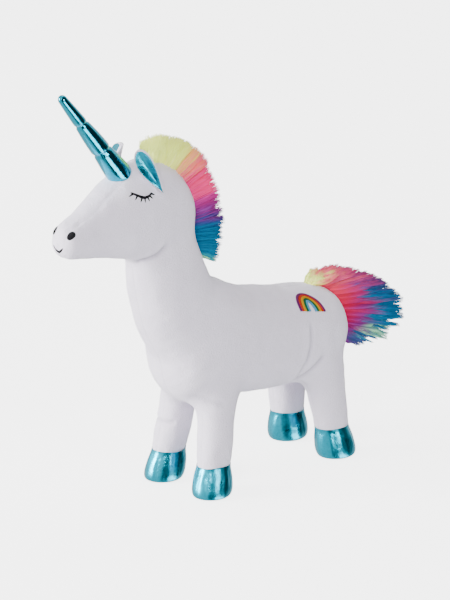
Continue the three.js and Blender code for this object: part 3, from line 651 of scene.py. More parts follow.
bpy.data.objects.remove(skin)


# Where rays from inside meet the skin: the mean distance of the near skin points, weighted by nearness.
def onSkin(starts, ways, width=2.0):
    starts, ways = np.atleast_2d(starts).astype(float), unit(np.atleast_2d(ways))
    result = np.zeros(len(starts))
    facing = np.zeros((len(starts), 3))
    for i in range(0, len(starts), 64):
        offset = points[None] - starts[i:i + 64, None]
        along = np.einsum("rnk,rk->rn", offset, ways[i:i + 64])
        apart = (offset**2).sum(-1) - along**2
        near = np.exp(-np.maximum(apart, 0) / width**2) * (along > 0) * (normals @ ways[i:i + 64].T > 0.1).T
        total = np.maximum(near.sum(1), 1e-12)
        result[i:i + 64] = (near * along).sum(1) / total
        facing[i:i + 64] = unit(near @ normals / total[:, None])
    return starts + ways * result[:, None], facing


# Foil.
def foilMaterial(name, tint, crease, smoothest, roughest):
    material, tree, shader = newMaterial(name, tint, 0.24, 1.0, coat_weight=0.15, coat_roughness=0.1)
    place = tree.nodes.new("ShaderNodeTexCoord")
    fine = addNode(tree, "ShaderNodeTexNoise", Scale=520, Detail=3, Roughness=0.6)
    broad = addNode(tree, "ShaderNodeTexNoise", Scale=60, Detail=3, Roughness=0.5, Distortion=0.6)
    for node in (fine, broad):
        link(tree, place.outputs["Object"], node.inputs["Vector"])
    link(tree, remap(tree, broad.outputs["Fac"], 0.3, 0.7, smoothest, roughest), shader.inputs["Roughness"])
    colour = mixColour(
        tree, remap(tree, fine.outputs["Fac"], 0.4, 0.7, 0.0, 0.35), tint, tuple(0.6 * c for c in tint)
    )
    link(tree, colour, shader.inputs["Base Color"])
    low = bumpOf(tree, broad.outputs["Fac"], crease, 0.6)
    link(tree, bumpOf(tree, fine.outputs["Fac"], 0.00025, 0.5, low), shader.inputs["Normal"])
    return material


foilTint = (0.003, 0.40, 0.55)
foil = foilMaterial("foilTeal", foilTint, 0.0016, 0.24, 0.4)
foilSmooth = foilMaterial("foilTealTaut", foilTint, 0.0003, 0.1, 0.18)

hoof = {"halfX": 16.2, "halfY": 17.8, "rows": 60, "sides": 128}


# A hoof: level rings that swell to the middle and turn in at the sole and at the top hem.
def buildHoof(name, leg, seed):
    v = np.linspace(0, 1, hoof["rows"])
    profile = [
        [0, 0.0, 0.74], [0, 0.3, 0.87], [0, 1.5, 0.945], [0, 4.0, 0.99], [0, 7.5, 1.005], [0, 12.0, 0.985],
        [0, 17.0, 0.945], [0.35, 22.0, 0.90], [1, 26.0, 0.86], [1, 26.4, 0.84], [1, 25.0, 0.82]
    ]
    r = through(profile, v * (len(profile) - 1))
    angle = np.arange(hoof["sides"]) / hoof["sides"] * 2 * math.pi
    around = np.stack([np.cos(angle), np.sin(angle), 0 * angle], -1)
    z = r[:, 1][:, None] * np.ones_like(angle)[None]
    rise = smooth(6, 26, z)
    sway = np.random.default_rng(seed).uniform(0, 6.28, 6)
    z = z + rise * (0.35 * np.sin(2 * angle + sway[0]) + 0.2 * np.sin(3 * angle + sway[1]))[None]
    pleats = sum(
        a * np.sin(k * angle + s + 2.2 * np.sin(v[:, None] * 3 + s)) for k, a,
        s in ((5, 0.5, sway[2]), (9, 0.34, sway[3]), (14, 0.22, sway[4]), (23, 0.12, sway[5]))
    )
    size = r[:, 2][:, None] + pleats * (0.014 + 0.016 * smooth(0.35, 0.95, v))[:, None] * (
        smooth(0.12, 0.3, v) * (1 - smooth(0.93, 1.0, v))
    )[:, None]
    at = np.array(legPoint(leg, 26))
    rim = (points - at) / [hoof["halfX"], hoof["halfY"], 1]
    rim = rim[(np.abs(rim[:, 2]) < 3) & (np.hypot(rim[:, 0], rim[:, 1]) < 1.3)]
    turned = np.cos(np.arctan2(rim[:, 1], rim[:, 0])[None] - angle[:, None])
    near = np.exp((turned - 1) * 30)
    hem = (near * np.hypot(rim[:, 0], rim[:, 1])[None]).sum(1) / near.sum(1)
    hemShare = r[:, 0][:, None]
    inward = np.array([0.022, 0.0, -0.03])[np.clip(np.searchsorted([0.955, 0.985], v), 0, 2)][:, None]
    size = size * (1 - hemShare) + (hem[None] + inward) * hemShare
    centre = np.stack(
        [
            np.interp(z, [0, stance["hipHeight"]], [leg["foot"][k], leg["hip"][k]]) for k in range(2)
        ] + [0 * z],
        -1
    )
    grid = centre + around[None] * size[..., None] * [hoof["halfX"], hoof["halfY"], 1]
    grid[..., 2] = z
    p, q, t = closedTube(grid)
    return meshFrom(name, p, [q, t])


for number, (name, leg) in enumerate(legs.items()):
    piece = buildHoof(f"hoof_{name}", leg, 20 + number)
    piece.data.materials.append(foil)
    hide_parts(f"hoof_{name}_band", f"hoof_{name}_sole")
    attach(piece, f"leg_{name}")
print("hooves")

horn = {
    "lean": math.radians(38.5), "base": np.array([0, -152.6, 301.0]), "length": 104.0,
    "waists": (0.27, 0.63), "rows": 220, "sides": 96, "rootRadius": 10.3, "tipRadius": 3.5,
    "waistDepth": 0.13, "waistWidth": 0.018, "slant": 0.02
}


# The horn: a taper with puffed segments and slanted waists, with gathers that fade from each waist.
def buildHorn():
    axis = np.array([0, -math.sin(horn["lean"]), math.cos(horn["lean"])])
    up = np.array([0, math.cos(horn["lean"]), math.sin(horn["lean"])])
    v = np.linspace(-0.05, 1, horn["rows"])[:, None]
    angle = np.arange(horn["sides"])[None] / horn["sides"] * 2 * math.pi
    slanted = v + horn["slant"] * np.cos(angle - 2.3)
    waist = sum(np.exp(-(((slanted - w) / horn["waistWidth"]) ** 2)) for w in horn["waists"])
    puffed = np.ones_like(slanted)
    for low, high in zip((-0.25, *horn["waists"]), (*horn["waists"], 1.35)):
        t = np.clip((slanted - low) / (high - low), 0, 1)
        puffed = np.where(
            (slanted >= low) & (slanted < high), 0.94 + 0.1 * np.sin(math.pi * t) ** 0.6, puffed
        )
    taper = horn["rootRadius"] + (horn["tipRadius"] - horn["rootRadius"]) * np.clip(v, 0, 1)
    gathers = np.sin(13 * angle + 3 * np.sin(v * 9)) + 0.6 * np.sin(22 * angle + 5 * v)
    closeBy = sum(np.exp(-np.abs(slanted - w) / 0.06) for w in horn["waists"])
    tip = np.sqrt(np.clip(1 - ((v - 0.955) / 0.045).clip(0, 1) ** 2, 0, 1))
    radius = taper * (puffed - horn["waistDepth"] * waist) * tip * (1 + 0.012 * gathers * closeBy)
    at = horn["base"] + axis * (v * horn["length"])[..., None]
    grid = at + radius[..., None] * (np.cos(angle)[..., None] * axisX + np.sin(angle)[..., None] * up)
    p, q, t = closedTube(grid[:-1])
    return meshFrom("horn_cover_cloth", p, [q, t])


hornPiece = buildHorn()
hornPiece.data.materials.append(foilSmooth)
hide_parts("horn_cover", "horn_stuffing", "horn_thread_lower", "horn_thread_upper")
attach(hornPiece, "horn")
print("horn")

# Ears.
ear = {"length": 38.5, "half": 7.4, "leanIn": 24, "leanForward": 22}
leafRows = [
    [-0.1, 0.12], [0.02, 0.25], [0.16, 0.48], [0.36, 0.75], [0.56, 0.95], [0.72, 1.0], [0.85, 0.88],
    [0.94, 0.62], [0.985, 0.33], [1.0, 0.04]
]
earPlush, tree, shader = newMaterial("plushEar", (0.85, 0.85, 0.88), 0.95, sheen_weight=0.35)
piled = usePile(tree)
link(
    tree,
    mixColour(
        tree, remap(tree, piled.outputs["Mottle"], 0.3, 0.7), (0.86, 0.795, 0.92), (0.93, 0.87, 0.99)
    ),
    shader.inputs["Base Color"]
)
link(tree, bumpOf(tree, piled.outputs["Height"], 0.0009, 0.8), shader.inputs["Normal"])


# A leaf: rows along its length, an edge-to-edge arc whose hollow deepens to the pinched root.
def leafSheet(rootAt, across, length, facing, scale, low, high, trim, columns=25, rows=60):
    share, wide = through(leafRows, np.linspace(0, len(leafRows) - 1, rows)).T
    half = np.maximum(wide * ear["half"] - trim, 0.15)
    y = trim * 0.7 + share * (ear["length"] - 1.7 * trim)
    u = np.linspace(-1, 1, columns)[None]
    hollow = (
        5.2 + 7.5 * (1 - np.clip(share, 0, 1)) ** 2
    )[:, None] * (np.abs(u) * half[:, None] / ear["half"]) ** 1.6
    fold = 0.8 * np.exp(-((u / 0.22) ** 2)) * (1 - np.clip(share, 0, 1))[:, None] ** 1.5
    thick = (1 - u**4)
    top = hollow + low + (high - low) * (0.35 + 0.65 * thick) - fold * scale
    bottom = hollow + low
    bend = -3.0 * (np.clip(share, 0, 1) ** 2)[:, None]
    flat = rootAt + (u * half[:, None])[..., None] * across + y[:, None, None] * length
    at = lambda depth: flat + (depth + bend)[..., None] * facing
    ringPoints = np.concatenate([at(bottom), at(top)[:, ::-1]], 1)
    return closedTube(ringPoints, flip=True)


for side, sign in (("left", 1), ("right", -1)):
    joint = next(j for j in frame["joints"] if j["name"] == f"ear_{side}_fold")
    rootAt = fromRow(joint["pos_m"])
    across = unit(joint["axis"])
    length = unit(
        [-sign * math.tan(math.radians(ear["leanIn"])), -math.tan(math.radians(ear["leanForward"])), 1]
    )
    facing = np.cross(across, length)
    rootAt = rootAt - length * 1.5 - facing * 0.5
    for kind, low, high, trim, scale, material, slot, node in (
        ("back", -3.4, 0.0, 0.0, 0.0, earPlush, "plush", f"ear_{side}_back"),
        ("lining", -0.2, 1.2, 0.8, 1.0, foil, "foil", f"ear_{side}_lining"),
    ):
        p, q, t = leafSheet(rootAt, across, length, facing, scale, low, high, trim)
        piece = meshFrom(f"ear_{side}_{kind}_cloth", p, [q, t])
        piece.data.materials.append(material)
        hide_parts(node)
        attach(piece, f"ear_{side}")
print("ears")

# Embroidery.
def threadMaterial(name, colour):
    material, tree, shader = newMaterial(name, colour, 0.6, specular_ior_level=0.12)
    wave = readAttribute(tree, "thread")
    ridges = addNode(tree, "ShaderNodeMath", operation="SINE")
    link(tree, wave, ridges.inputs[0])
    height = remap(tree, ridges.outputs[0], -1, 1)
    # Painted shade: the thread colour darkens in the grooves between the thread ridges.
    shade = mixColour(
        tree, remap(tree, ridges.outputs[0], -1, 0.4, 0.55, 0.0), colour, tuple(c * 0.45 for c in colour)
    )
    link(tree, shade, shader.inputs["Base Color"])
    link(tree, bumpOf(tree, height, 0.00035, 1.0), shader.inputs["Normal"])
    return material


# Satin stitch: a pad of threads across a path on the skin, a rounded section that narrows to its ends.
def satin(name, path, facing, widths, lift, material, columns=9, thread=0.42):
    path, facing = np.asarray(path, float), unit(facing)
    along = unit(np.gradient(path, axis=0))
    across = unit(np.cross(facing, along))
    angle = np.linspace(0, 2 * math.pi, columns, endpoint=False)
    w = np.asarray(widths, float)[:, None, None] * np.ones((len(path), 1, 1))
    high = lift * np.clip(w / w.max(), 0.25, 1)
    grid = path[:, None] + across[:, None] * np.cos(angle)[
        None, :, None
    ] * w + facing[:, None] * np.sin(angle)[None, :, None] * high
    p, q, t = closedTube(grid)
    piece = meshFrom(name, p, [q, t])
    steps = np.concatenate([[0], np.cumsum(np.linalg.norm(np.diff(path, axis=0), axis=1))])
    phase = np.repeat(steps / thread * 2 * math.pi, columns)
    attribute(piece, "thread", np.concatenate([phase, phase[:1], phase[-1:]]))
    piece.data.materials.append(material)
    return piece


# The curve through the rows at evenly spaced places.
def resample(rows, count):
    return through(rows, np.linspace(0, len(rows) - 1, count))


black = threadMaterial("threadBlack", (0.012, 0.011, 0.014))


# Several pieces made into the first one.
def joinPieces(name, pieces):
    with bpy.context.temp_override(active_object=pieces[0], selected_editable_objects=pieces):
        bpy.ops.object.join()
    pieces[0].name = name
    return pieces[0]


lidRows = [
    [-154.4, 286.9], [-151.2, 285.0], [-147.2, 282.7], [-143.9, 281.4], [-140.6, 281.2], [-137.6, 281.9],
    [-135.5, 283.5]
]
lashRows = [
    [0.5, -2.9, -2.2], [1.4, -2.2, -3.4], [2.3, -1.3, -4.0], [3.2, -0.2, -4.2], [4.1, 0.9, -3.9],
    [4.9, 1.9, -3.2], [5.7, 2.6, -2.2]
]


# Points on one side of the head at given y and z, a little above the skin, with the skin's normals.
def onFace(sign, yz):
    yz = np.atleast_2d(yz)
    starts = np.stack([0 * yz[:, 0], yz[:, 0], yz[:, 1]], -1)
    ways = np.tile([sign, 0, 0.0], (len(yz), 1))
    found, facing = onSkin(starts, ways)
    return found + facing * 0.15, facing


for side, sign in (("left", 1), ("right", -1)):
    lid, lidFacing = onFace(sign, resample(lidRows, 40))
    t = np.linspace(0, 1, 40)
    parts = [satin("lid", lid, lidFacing, 0.55 + 0.7 * np.sin(math.pi * t) ** 0.7, 0.65, black)]
    for at, dy, dz in lashRows:
        root = resample(lidRows, 601)[int(at * 100)]
        s = np.linspace(0, 1, 12)[:, None]
        curve = root + s * np.array([dy, dz]) * 1.2 + s**2 * np.array([dy * 0.25, 0.9])
        lash, lashFacing = onFace(sign, curve)
        parts.append(
            satin("lash", lash, lashFacing, 0.85 * (1 - s[:, 0]) ** 0.7 + 0.18, 0.5, black, columns=7)
        )
    eye = joinPieces(f"eye_{side}_stitch", parts)
    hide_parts(f"eye_{side}")
    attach(eye, "head")
    muzzle = np.array([0, body["noseY"] + 14, body["jawZ"] + 36.5])
    s = np.linspace(0, 1, 24)
    ways = np.stack([sign * (12.6 + 5.2 * s), -14.4 + 8.6 * s, 8.6 + 10.2 * s], -1)
    nose, noseFacing = onSkin(np.tile(muzzle, (24, 1)), ways)
    nostril = satin(
        f"nostril_{side}_stitch", nose, noseFacing,
        0.3 + 2.7 * np.sqrt(np.clip(1 - (2 * s - 1) ** 2, 0, 1)), 0.9, black, columns=14, thread=0.5
    )
    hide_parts(f"nostril_{side}")
    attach(nostril, "head")
s = np.linspace(-1, 1, 41)
ways = np.stack([6.4 * s, np.full(41, -14.0), -8.6 + 6.2 * np.abs(s) ** 1.2], -1)
smile, smileFacing = onSkin(np.tile(muzzle, (41, 1)), ways)
mouth = satin("mouth_stitches", smile, smileFacing, 0.5 + 0.6 * (1 - s**2), 0.6, black, columns=8)
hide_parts("mouth_stitch")
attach(mouth, "head")

rainbow = {"y": 43.0, "climb": math.radians(37), "halfWidth": 13.6, "rise": 22.0, "band": 2.3, "tilt": 0.22}
bandColours = {
    "violet": (0.20, 0.02, 0.16), "red": (0.75, 0.045, 0.01), "yellow": (0.85, 0.42, 0.008),
    "green": (0.003, 0.16, 0.05), "blue": (0.12, 0.42, 0.72)
}
for number, (name, colour) in enumerate(bandColours.items()):
    t = np.linspace(0, math.pi, 60)
    half = rainbow["halfWidth"] - (number + 0.5) * rainbow["band"]
    rise = rainbow["rise"] - (number + 0.5) * rainbow["band"]
    climb = rainbow["climb"] + rise * np.sin(t) / 45 + rainbow["tilt"] * half * np.cos(t) / 36
    starts = np.stack([0 * t, rainbow["y"] - half * np.cos(t), np.full(60, 111.5)], -1)
    ways = np.stack([np.cos(climb), 0 * t, np.sin(climb)], -1)
    arch, archFacing = onSkin(starts, ways)
    arc = satin(
        f"rainbow_{name}_stitch", arch + archFacing * 0.1, archFacing, np.full(60, rainbow["band"] * 0.53),
        0.75, threadMaterial(f"thread_{name}", colour), columns=10, thread=0.55
    )
    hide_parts(f"rainbow_{name}_band")
    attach(arc, "torso")
print("embroidery")


# Long fur, with painted light and shade: it glows in its own colour and darkens towards the roots.
furMaterial, tree, shader = newMaterial(
    "longFur", (0.8, 0.2, 0.4), 0.85, specular_ior_level=0.15, emission_strength=0.32
)
# Painted shade: the fibre colour is darkened by the stored value, most near the roots and in the core's
# hollows; part of it is random tone per strand.
fibre = readAttribute(tree, "fibre", "Color")
furShadeAndStreak = readAttribute(tree, "furShadeAndStreak")
fibreToneAndShade = mixColour(
    tree, remap(tree, furShadeAndStreak, 0, 1, 0.0, 0.55), fibre,
    mixColour(tree, 1.0, fibre, (0.42, 0.36, 0.50), "MULTIPLY")
)
link(tree, fibreToneAndShade, shader.inputs["Base Color"])
# Painted light: the fur glows with its own colour as emission.
link(tree, fibreToneAndShade, shader.inputs["Emission Color"])


# Locks of strands: each leans to its lock's line at the tip and waves sideways, to nearly the same reach.
def strands(name, rootAt, tipAt, droop, colourAt, material, kind, seed):
    locks, perLock, radius, spread = (kind[k] for k in ("locks", "perLock", "radius", "spread"))
    gather, wave, segments = (kind[k] for k in ("gather", "wave", "segments"))
    r = np.random.default_rng(seed)
    s = (np.arange(locks) + r.uniform(0, 1, locks)) / locks
    r.shuffle(s)
    u = r.uniform(-1, 1, locks)
    ls, lu = np.repeat(s, perLock), np.repeat(u, perLock)
    n = locks * perLock
    ss = np.clip(ls + r.normal(0, spread, n), 0, 1)
    uu = np.clip(lu + r.normal(0, 0.2, n), -1.1, 1.1)
    t = np.linspace(0, 1, segments + 1)[None, :, None]
    root, tip = rootAt(ss, uu), tipAt(ss, uu)
    lockTip = tipAt(ls, lu) + r.normal(0, 0.9, (locks, 3)).repeat(perLock, 0)
    tip = tip * (1 - gather) + lockTip * gather
    size = np.repeat(r.uniform(0.97, 1.01, locks), perLock) * (1 - 0.28 * r.uniform(0, 1, n) ** 2.2)
    tip = root + (tip - root) * size[:, None]
    line = root[:, None] * (1 - t) + tip[:, None] * t + droop(ss)[:, None] * t**2
    turn = np.repeat(r.uniform(0, 6.28, locks), perLock)[:, None, None] + r.normal(0, 0.5, (n, 1, 1))
    sway = np.repeat(unit(r.normal(size=(locks, 3))), perLock, 0)[:, None]
    line += sway * np.sin(turn + t * 7.5) * wave * t + r.normal(0, 0.5, (n, 1, 3)) * np.sin(t * math.pi)
    along = unit(np.gradient(line, axis=1))
    side = unit(np.cross(along, r.normal(size=(n, 1, 3))))
    other = np.cross(along, side)
    thick = radius * (1 - 0.8 * t**2.5) * r.uniform(0.7, 1.25, (n, 1, 1))
    corner = [line + thick * (side * math.cos(a) + other * math.sin(a)) for a in (0, 2.094, 4.189)]
    grid = np.stack(corner, 2)
    base = (np.arange(n) * (segments + 1) * 3)[:, None, None]
    quads = (gridFaces(segments + 1, 3)[None] + base).reshape(-1, 4)
    first = np.array([[2, 1, 0]])[None] + base
    last = (np.array([[0, 1, 2]]) + segments * 3)[None] + base
    piece = meshFrom(name, grid.reshape(-1, 3), [quads, np.concatenate([first, last]).reshape(-1, 3)])
    tt = np.broadcast_to(t, (n, segments + 1, 1))[..., 0]
    lock = np.repeat(r.normal(0, 1, locks), perLock)[:, None] + 0 * tt
    tone = colourAt(ss[:, None] + 0 * tt, tt, uu[:, None] + 0 * tt, r.normal(0, 1, (n, 1)) + 0 * tt, lock)
    rgba = np.concatenate([tone, np.ones((*tt.shape, 1))], -1)
    attribute(piece, "fibre", np.repeat(rgba[:, :, None], 3, 2), "FLOAT_COLOR")
    # Painted shade: strands darken towards their roots, with a random tone per strand.
    shade = np.clip(0.7 - 1.1 * tt + r.uniform(-0.25, 0.3, (n, 1)), 0, 1)
    attribute(piece, "furShadeAndStreak", np.repeat(shade[..., None], 3, 2))
    piece.data.materials.append(material)
    return piece


# Colour along a scale of stops, linear between them.
def stops(rows, at):
    rows = np.asarray(rows, float)
    return np.stack([np.interp(at, rows[:, 0], rows[:, k]) for k in (1, 2, 3)], -1)


# The dense inside of the fur: a closed loft under the strands with long ripples that run from root to tip.
def furCore(name, rootAt, tipAt, colourAt, material, reach, half, seed, rows=160, columns=64):
    s = np.linspace(0.0, 1, rows)
    root, tip = rootAt(s, 0 * s), tipAt(s, 0 * s)
    a = np.arange(columns) / columns * 2 * math.pi
    t = (0.5 - 0.5 * np.cos(a))[None] * np.ones((rows, 1))
    ends = np.sin(math.pi * np.clip(s, 0.015, 0.985)) ** 0.35
    fluff = ripple(
        np.stack(
            np.broadcast_arrays(s[:, None] * 95, t * 1.6, np.sign(np.sin(a))[None] * 3.0), -1
        ).reshape(-1, 3),
        5.0, seed, 14
    ).reshape(rows, columns)
    long = reach * (0.55 + 0.45 * ends)[:, None] * (1 + 0.035 * fluff)
    wide = np.sin(a)[None] * half * (0.35 + 0.65 * ends)[:, None] * (1 + 0.16 * fluff)
    grid = root[:, None] + (tip - root)[:, None] * (t * long)[..., None] + wide[..., None] * axisX
    p, q, tri = closedTube(grid, flip=True)
    piece = meshFrom(name, p, [q, tri])
    # The ripples stand in for strand and lock, so the colour is a little darker in their hollows: painted
    # shade.
    tone = colourAt(s[:, None] + 0 * t, t * long, 0 * t, 0.8 * fluff, 0.8 * fluff)
    rgba = np.concatenate([tone, np.ones((rows, columns, 1))], -1).reshape(-1, 4)
    attribute(piece, "fibre", np.concatenate([rgba, rgba[:1], rgba[-1:]]), "FLOAT_COLOR")
    # Painted shade: the core is darkened, most in the ripples' hollows.
    shade = np.clip(0.35 - 0.3 * fluff, 0, 1).ravel()
    attribute(piece, "furShadeAndStreak", np.concatenate([shade, shade[:1], shade[-1:]]))
    piece.data.materials.append(material)
    return piece


crestRows = [
    [-120, 297, 1, 20], [-110, 295, 6, 26], [-99, 290, 20, 22], [-88, 279, 27, 17], [-78, 262, 28, 10],
    [-72, 245, 30, 5], [-69, 230, 29, 0], [-66, 216, 24, -3], [-62, 205, 14, -5]
]
maneStops = [
    [0, 0.86, 0.98, 0.28], [0.27, 0.90, 0.98, 0.24], [0.32, 0.98, 0.40, 0.18], [0.37, 0.98, 0.075, 0.27],
    [0.5, 0.90, 0.045, 0.26], [0.57, 0.45, 0.035, 0.26], [0.64, 0.18, 0.03, 0.22], [0.69, 0.04, 0.05, 0.24],
    [0.73, 0.0, 0.13, 0.27], [0.91, 0.0, 0.16, 0.30], [0.96, 0.01, 0.30, 0.34], [0.985, 0.5, 0.92, 0.34],
    [1, 0.6, 0.95, 0.36]
]
crestAt = lambda s: through(crestRows, s * (len(crestRows) - 1))


# Root of the mane at a share of its length and across its width, set into the skin.
def maneRoot(s, u):
    r = crestAt(s)
    inward = unit(np.stack([0 * s, r[:, 2], r[:, 3]], -1)) * -3.5
    return np.stack([u * (5.0 + 3.5 * np.sin(math.pi * s) ** 0.7), r[:, 0], r[:, 1]], -1) + inward


# Tip of the mane there: the root plus the way of its row, shorter at the sides.
def maneTip(s, u):
    r = crestAt(s)
    scallop = 1 + 0.02 * np.sin(s * 62) * smooth(0.5, 0.8, s)
    return maneRoot(s, u) + np.stack(
        [u * (5.0 + 0.8 * np.sin(s * 40)), r[:, 2] * scallop, r[:, 3] * scallop], -1
    ) * (1.16 - 0.1 * u * u)[:, None]


# How far the mane hangs, growing towards its lower end.
def maneDroop(s):
    down = 1.0 + 2.0 * smooth(0.5, 1, s)
    return np.stack([0 * s, 0 * s, -down], -1)


# The mane colour by its share, varied by strand and lock, with deeper strands in the pink.
def maneColour(s, t, u, strand, lock):
    at = s + 0.008 * strand + 0.014 * lock - 0.03 * t * smooth(0.25, 0.5, s)
    tone = stops(maneStops, at)
    deep = np.array([0.62, 0.03, 0.30])
    pinkZone = smooth(0.28, 0.36, at) * (1 - smooth(0.56, 0.62, at))
    mix = (np.clip(0.22 * strand + 0.25 * lock - 0.1, 0, 0.6) * pinkZone)[..., None]
    return np.clip((tone * (1 - mix) + deep * mix) * (1 + 0.1 * strand[..., None]), 0, 1)


maneFur = {
    "locks": 230, "perLock": 26, "radius": 0.46, "spread": 0.008, "gather": 0.3, "wave": 0.9, "segments": 4
}
for part, seed in (("mane_fur_fine", 41), ("mane_fur_full", 43)):
    mane = strands(part, maneRoot, maneTip, maneDroop, maneColour, furMaterial, maneFur, seed)
    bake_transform(mane)
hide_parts("mane_fur_upper", "mane_fur_lower", "mane_tape_upper", "mane_tape_lower")
maneCore = furCore("mane_underfur", maneRoot, maneTip, maneColour, furMaterial, 0.86, 9.0, 61)
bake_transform(maneCore)

# Rows down the rump's seam: root y, z and the way to the tip.
tailRows = [
    [70, 146, 8, 8], [76, 144, 20, 10], [83, 141, 36, 8], [89, 136, 53, 3], [93, 129, 67, -4],
    [95, 122, 75, -10], [95, 115, 75, -19], [95, 109, 60, -24], [93, 104, 36, -20], [91, 100, 20, -13]
]
tailAt = lambda s: through(tailRows, s * (len(tailRows) - 1))


# Root of the tail at a share down its seam.
def tailRoot(s, u):
    r = tailAt(s)
    return np.stack([u * 4.5, r[:, 0] - 3, r[:, 1]], -1)


# Tip of the tail there, fanned across.
def tailTip(s, u):
    r = tailAt(s)
    wide = 16 * np.sin(math.pi * np.clip(s * 0.9 + 0.06, 0, 1)) ** 0.6
    return tailRoot(s, u) + np.stack([u * wide, r[:, 2] * (1.04 - 0.12 * u * u), r[:, 3]], -1)


# How far the tail hangs.
def tailDroop(s):
    return np.stack([0 * s, 0 * s, -2.0 + 0 * s], -1)


rootStops = [
    [0, 0.82, 0.97, 0.24], [0.1, 0.90, 0.88, 0.2], [0.17, 0.80, 0.06, 0.12], [0.5, 0.56, 0.003, 0.055],
    [0.75, 0.5, 0.004, 0.085], [0.9, 0.3, 0.02, 0.2], [1, 0.24, 0.025, 0.26]
]
middleStops = [
    [0, 0.82, 0.95, 0.24], [0.12, 0.92, 0.3, 0.2], [0.24, 0.72, 0.045, 0.14], [0.4, 0.48, 0.022, 0.15],
    [0.55, 0.25, 0.022, 0.17], [0.8, 0.2, 0.025, 0.2], [1, 0.16, 0.03, 0.22]
]
tipStops = [
    [0, 0.8, 0.95, 0.28], [0.12, 0.9, 0.16, 0.22], [0.24, 0.66, 0.07, 0.22], [0.34, 0.24, 0.045, 0.22],
    [0.42, 0.06, 0.07, 0.24], [0.48, 0.0, 0.12, 0.28], [0.72, 0.0, 0.16, 0.33], [0.78, 0.4, 0.82, 0.45],
    [0.82, 0.0, 0.18, 0.34], [0.92, 0.06, 0.07, 0.24], [1, 0.18, 0.03, 0.22]
]


# The tail colour: root, middle and tip scales mixed by the way along.
def tailColour(s, t, u, strand, lock):
    at = s + 0.015 * strand + 0.03 * lock
    along = t + 0.09 * lock
    low = smooth(0.12, 0.42, along)[..., None]
    high = smooth(0.42, 0.68, along)[..., None]
    tone = (
        stops(rootStops, at) * (1 - low) + stops(middleStops, at) * low
    ) * (1 - high) + stops(tipStops, at) * high
    return np.clip(tone * (1 + 0.12 * strand[..., None]), 0, 1)


tailFur = {
    "locks": 130, "perLock": 42, "radius": 0.5, "spread": 0.01, "gather": 0.68, "wave": 2.2, "segments": 5
}
for part, seed in (("tail_fur_fine", 52), ("tail_fur_full", 54)):
    tail = strands(part, tailRoot, tailTip, tailDroop, tailColour, furMaterial, tailFur, seed)
    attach(tail, "tail")
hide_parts("tail_fur")
tailCore = furCore("tail_underfur", tailRoot, tailTip, tailColour, furMaterial, 0.8, 12.0, 62)
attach(tailCore, "tail")
tapeMaterial, tree, shader = newMaterial("wovenTape", (0.7, 0.68, 0.72), 0.8)
weave = addNode(tree, "ShaderNodeTexNoise", Scale=1200, Detail=2)
link(tree, addNode(tree, "ShaderNodeTexCoord").outputs["Object"], weave.inputs["Vector"])
link(tree, bumpOf(tree, weave.outputs["Fac"], 0.0003, 0.6), shader.inputs["Normal"])
frame["nodes"]["tail_tape"].data.materials.clear()
frame["nodes"]["tail_tape"].data.materials.append(tapeMaterial)
print("fur")

# Stage, lights, camera.
floorMaterial, tree, shader = newMaterial("paleFloor", (0.6, 0.6, 0.6), 0.95, emission_strength=4.0)
shader.inputs["Emission Color"].default_value = (1, 1, 1, 1)
bpy.ops.mesh.primitive_plane_add(size=60, location=(0, 0, -0.0005))
floor = bpy.context.object
floor.name = "floor"
floor.data.materials.append(floorMaterial)
floor.visible_diffuse = False
floor.visible_glossy = False

azimuth, elevation = math.radians(46.6), math.radians(20)
right = np.array([math.cos(azimuth), math.sin(azimuth), 0])
back = np.array(
    [math.sin(azimuth) * math.cos(elevation), -math.cos(azimuth) * math.cos(elevation), math.sin(elevation)]
)
upward = np.cross(back, right)
target = toRow(right * -21.0 + upward * 139.4)
distance = 16.0
cameraData = bpy.data.cameras.new("camera")
sensorWidth, viewHeight, nearer = 36, 0.504, 0.08
cameraData.lens = sensorWidth * (distance - nearer) / viewHeight
cameraData.sensor_width = sensorWidth
camera = bpy.data.objects.new("camera", cameraData)
bpy.context.scene.collection.objects.link(camera)
turn = np.eye(4)
turn[:3, 0], turn[:3, 1], turn[:3, 2], turn[:3, 3] = right, upward, back, target + back * distance
camera.matrix_world = Matrix(turn.tolist())
bpy.context.scene.camera = camera


# A soft light aimed at the middle of the object from a place given along right, up and back of the view.
def softLight(name, place, size, power):
    data = bpy.data.lights.new(name, "AREA")
    data.shape = "RECTANGLE"
    data.size, data.size_y = size
    data.energy = power
    lamp = bpy.data.objects.new(name, data)
    at = target + right * place[0] + upward * place[1] + back * place[2]
    bpy.context.scene.collection.objects.link(lamp)
    z = unit(at - target)
    x = unit(np.cross([0, 0, 1.0], z))
    m = np.eye(4)
    m[:3, 0], m[:3, 1], m[:3, 2], m[:3, 3] = x, np.cross(z, x), z, at
    lamp.matrix_world = Matrix(m.tolist())


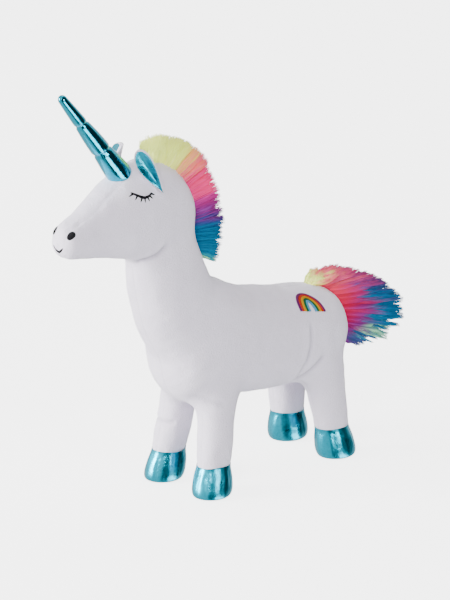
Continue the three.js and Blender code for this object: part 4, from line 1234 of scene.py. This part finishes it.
softLight("key", (-2.7, 0.2, 0.9), (1.3, 1.3), 215)
softLight("strip", (-0.55, 0.55, 3.2), (0.3, 1.3), 55)
softLight("fill", (1.9, -0.35, 2.6), (1.0, 1.2), 60)
softLight("top", (0.2, 2.6, 0.2), (1.2, 0.8), 8)

# The room: pale below and behind, darker on the camera's side, pale again at far left.
world = bpy.data.worlds.new("studio")
bpy.context.scene.world = world
world.use_nodes = True
room = world.node_tree
place = room.nodes.new("ShaderNodeTexCoord")


# How far a direction of view agrees with the one given: their dot product.
def facingValue(direction):
    dot = room.nodes.new("ShaderNodeVectorMath")
    dot.operation = "DOT_PRODUCT"
    dot.inputs[1].default_value = tuple(direction)
    link(room, place.outputs["Generated"], dot.inputs[0])
    return dot.outputs["Value"]


side = unit(0.75 * right + 0.55 * back - 0.2 * upward)
dark = remap(room, facingValue(side), 0.22, 0.5)
tone = mixColour(room, dark, (1.35, 1.35, 1.35), (0.05, 0.055, 0.06))


# Where the camera's line goes after meeting the horn's front at an angle round it.
def mirrored(turned):
    lean = np.array([0, -math.sin(horn["lean"]), math.cos(horn["lean"])])
    front = unit(back - lean * (back @ lean))
    normal = front * math.cos(turned) + np.cross(lean, front) * math.sin(turned)
    return 2 * (normal @ back) * normal - back


# A narrow bright card that shows as one long streak down the horn.
card = mirrored(0.02)
cardAcross = unit(mirrored(0.07) - mirrored(-0.03))
cardAlong = unit(np.cross(card, cardAcross))


# 1 near the plane across a direction, falling to 0 between two distances.
def band(direction, inner, outer):
    size = room.nodes.new("ShaderNodeMath")
    size.operation = "ABSOLUTE"
    link(room, facingValue(direction), size.inputs[0])
    return remap(room, size.outputs[0], inner, outer, 1.0, 0.0)


# The product of two values.
def product(a, b):
    node = room.nodes.new("ShaderNodeMath")
    node.operation = "MULTIPLY"
    link(room, a, node.inputs[0])
    link(room, b, node.inputs[1])
    return node.outputs[0]


shape = product(
    product(band(cardAcross, 0.16, 0.25), band(cardAlong, 0.3, 0.5)),
    remap(room, facingValue(card), 0.1, 0.3)
)
tone = mixColour(room, shape, tone, (9.0, 9.5, 9.8))
background = room.nodes["Background"]
link(room, tone, background.inputs["Color"])
background.inputs["Strength"].default_value = 0.85
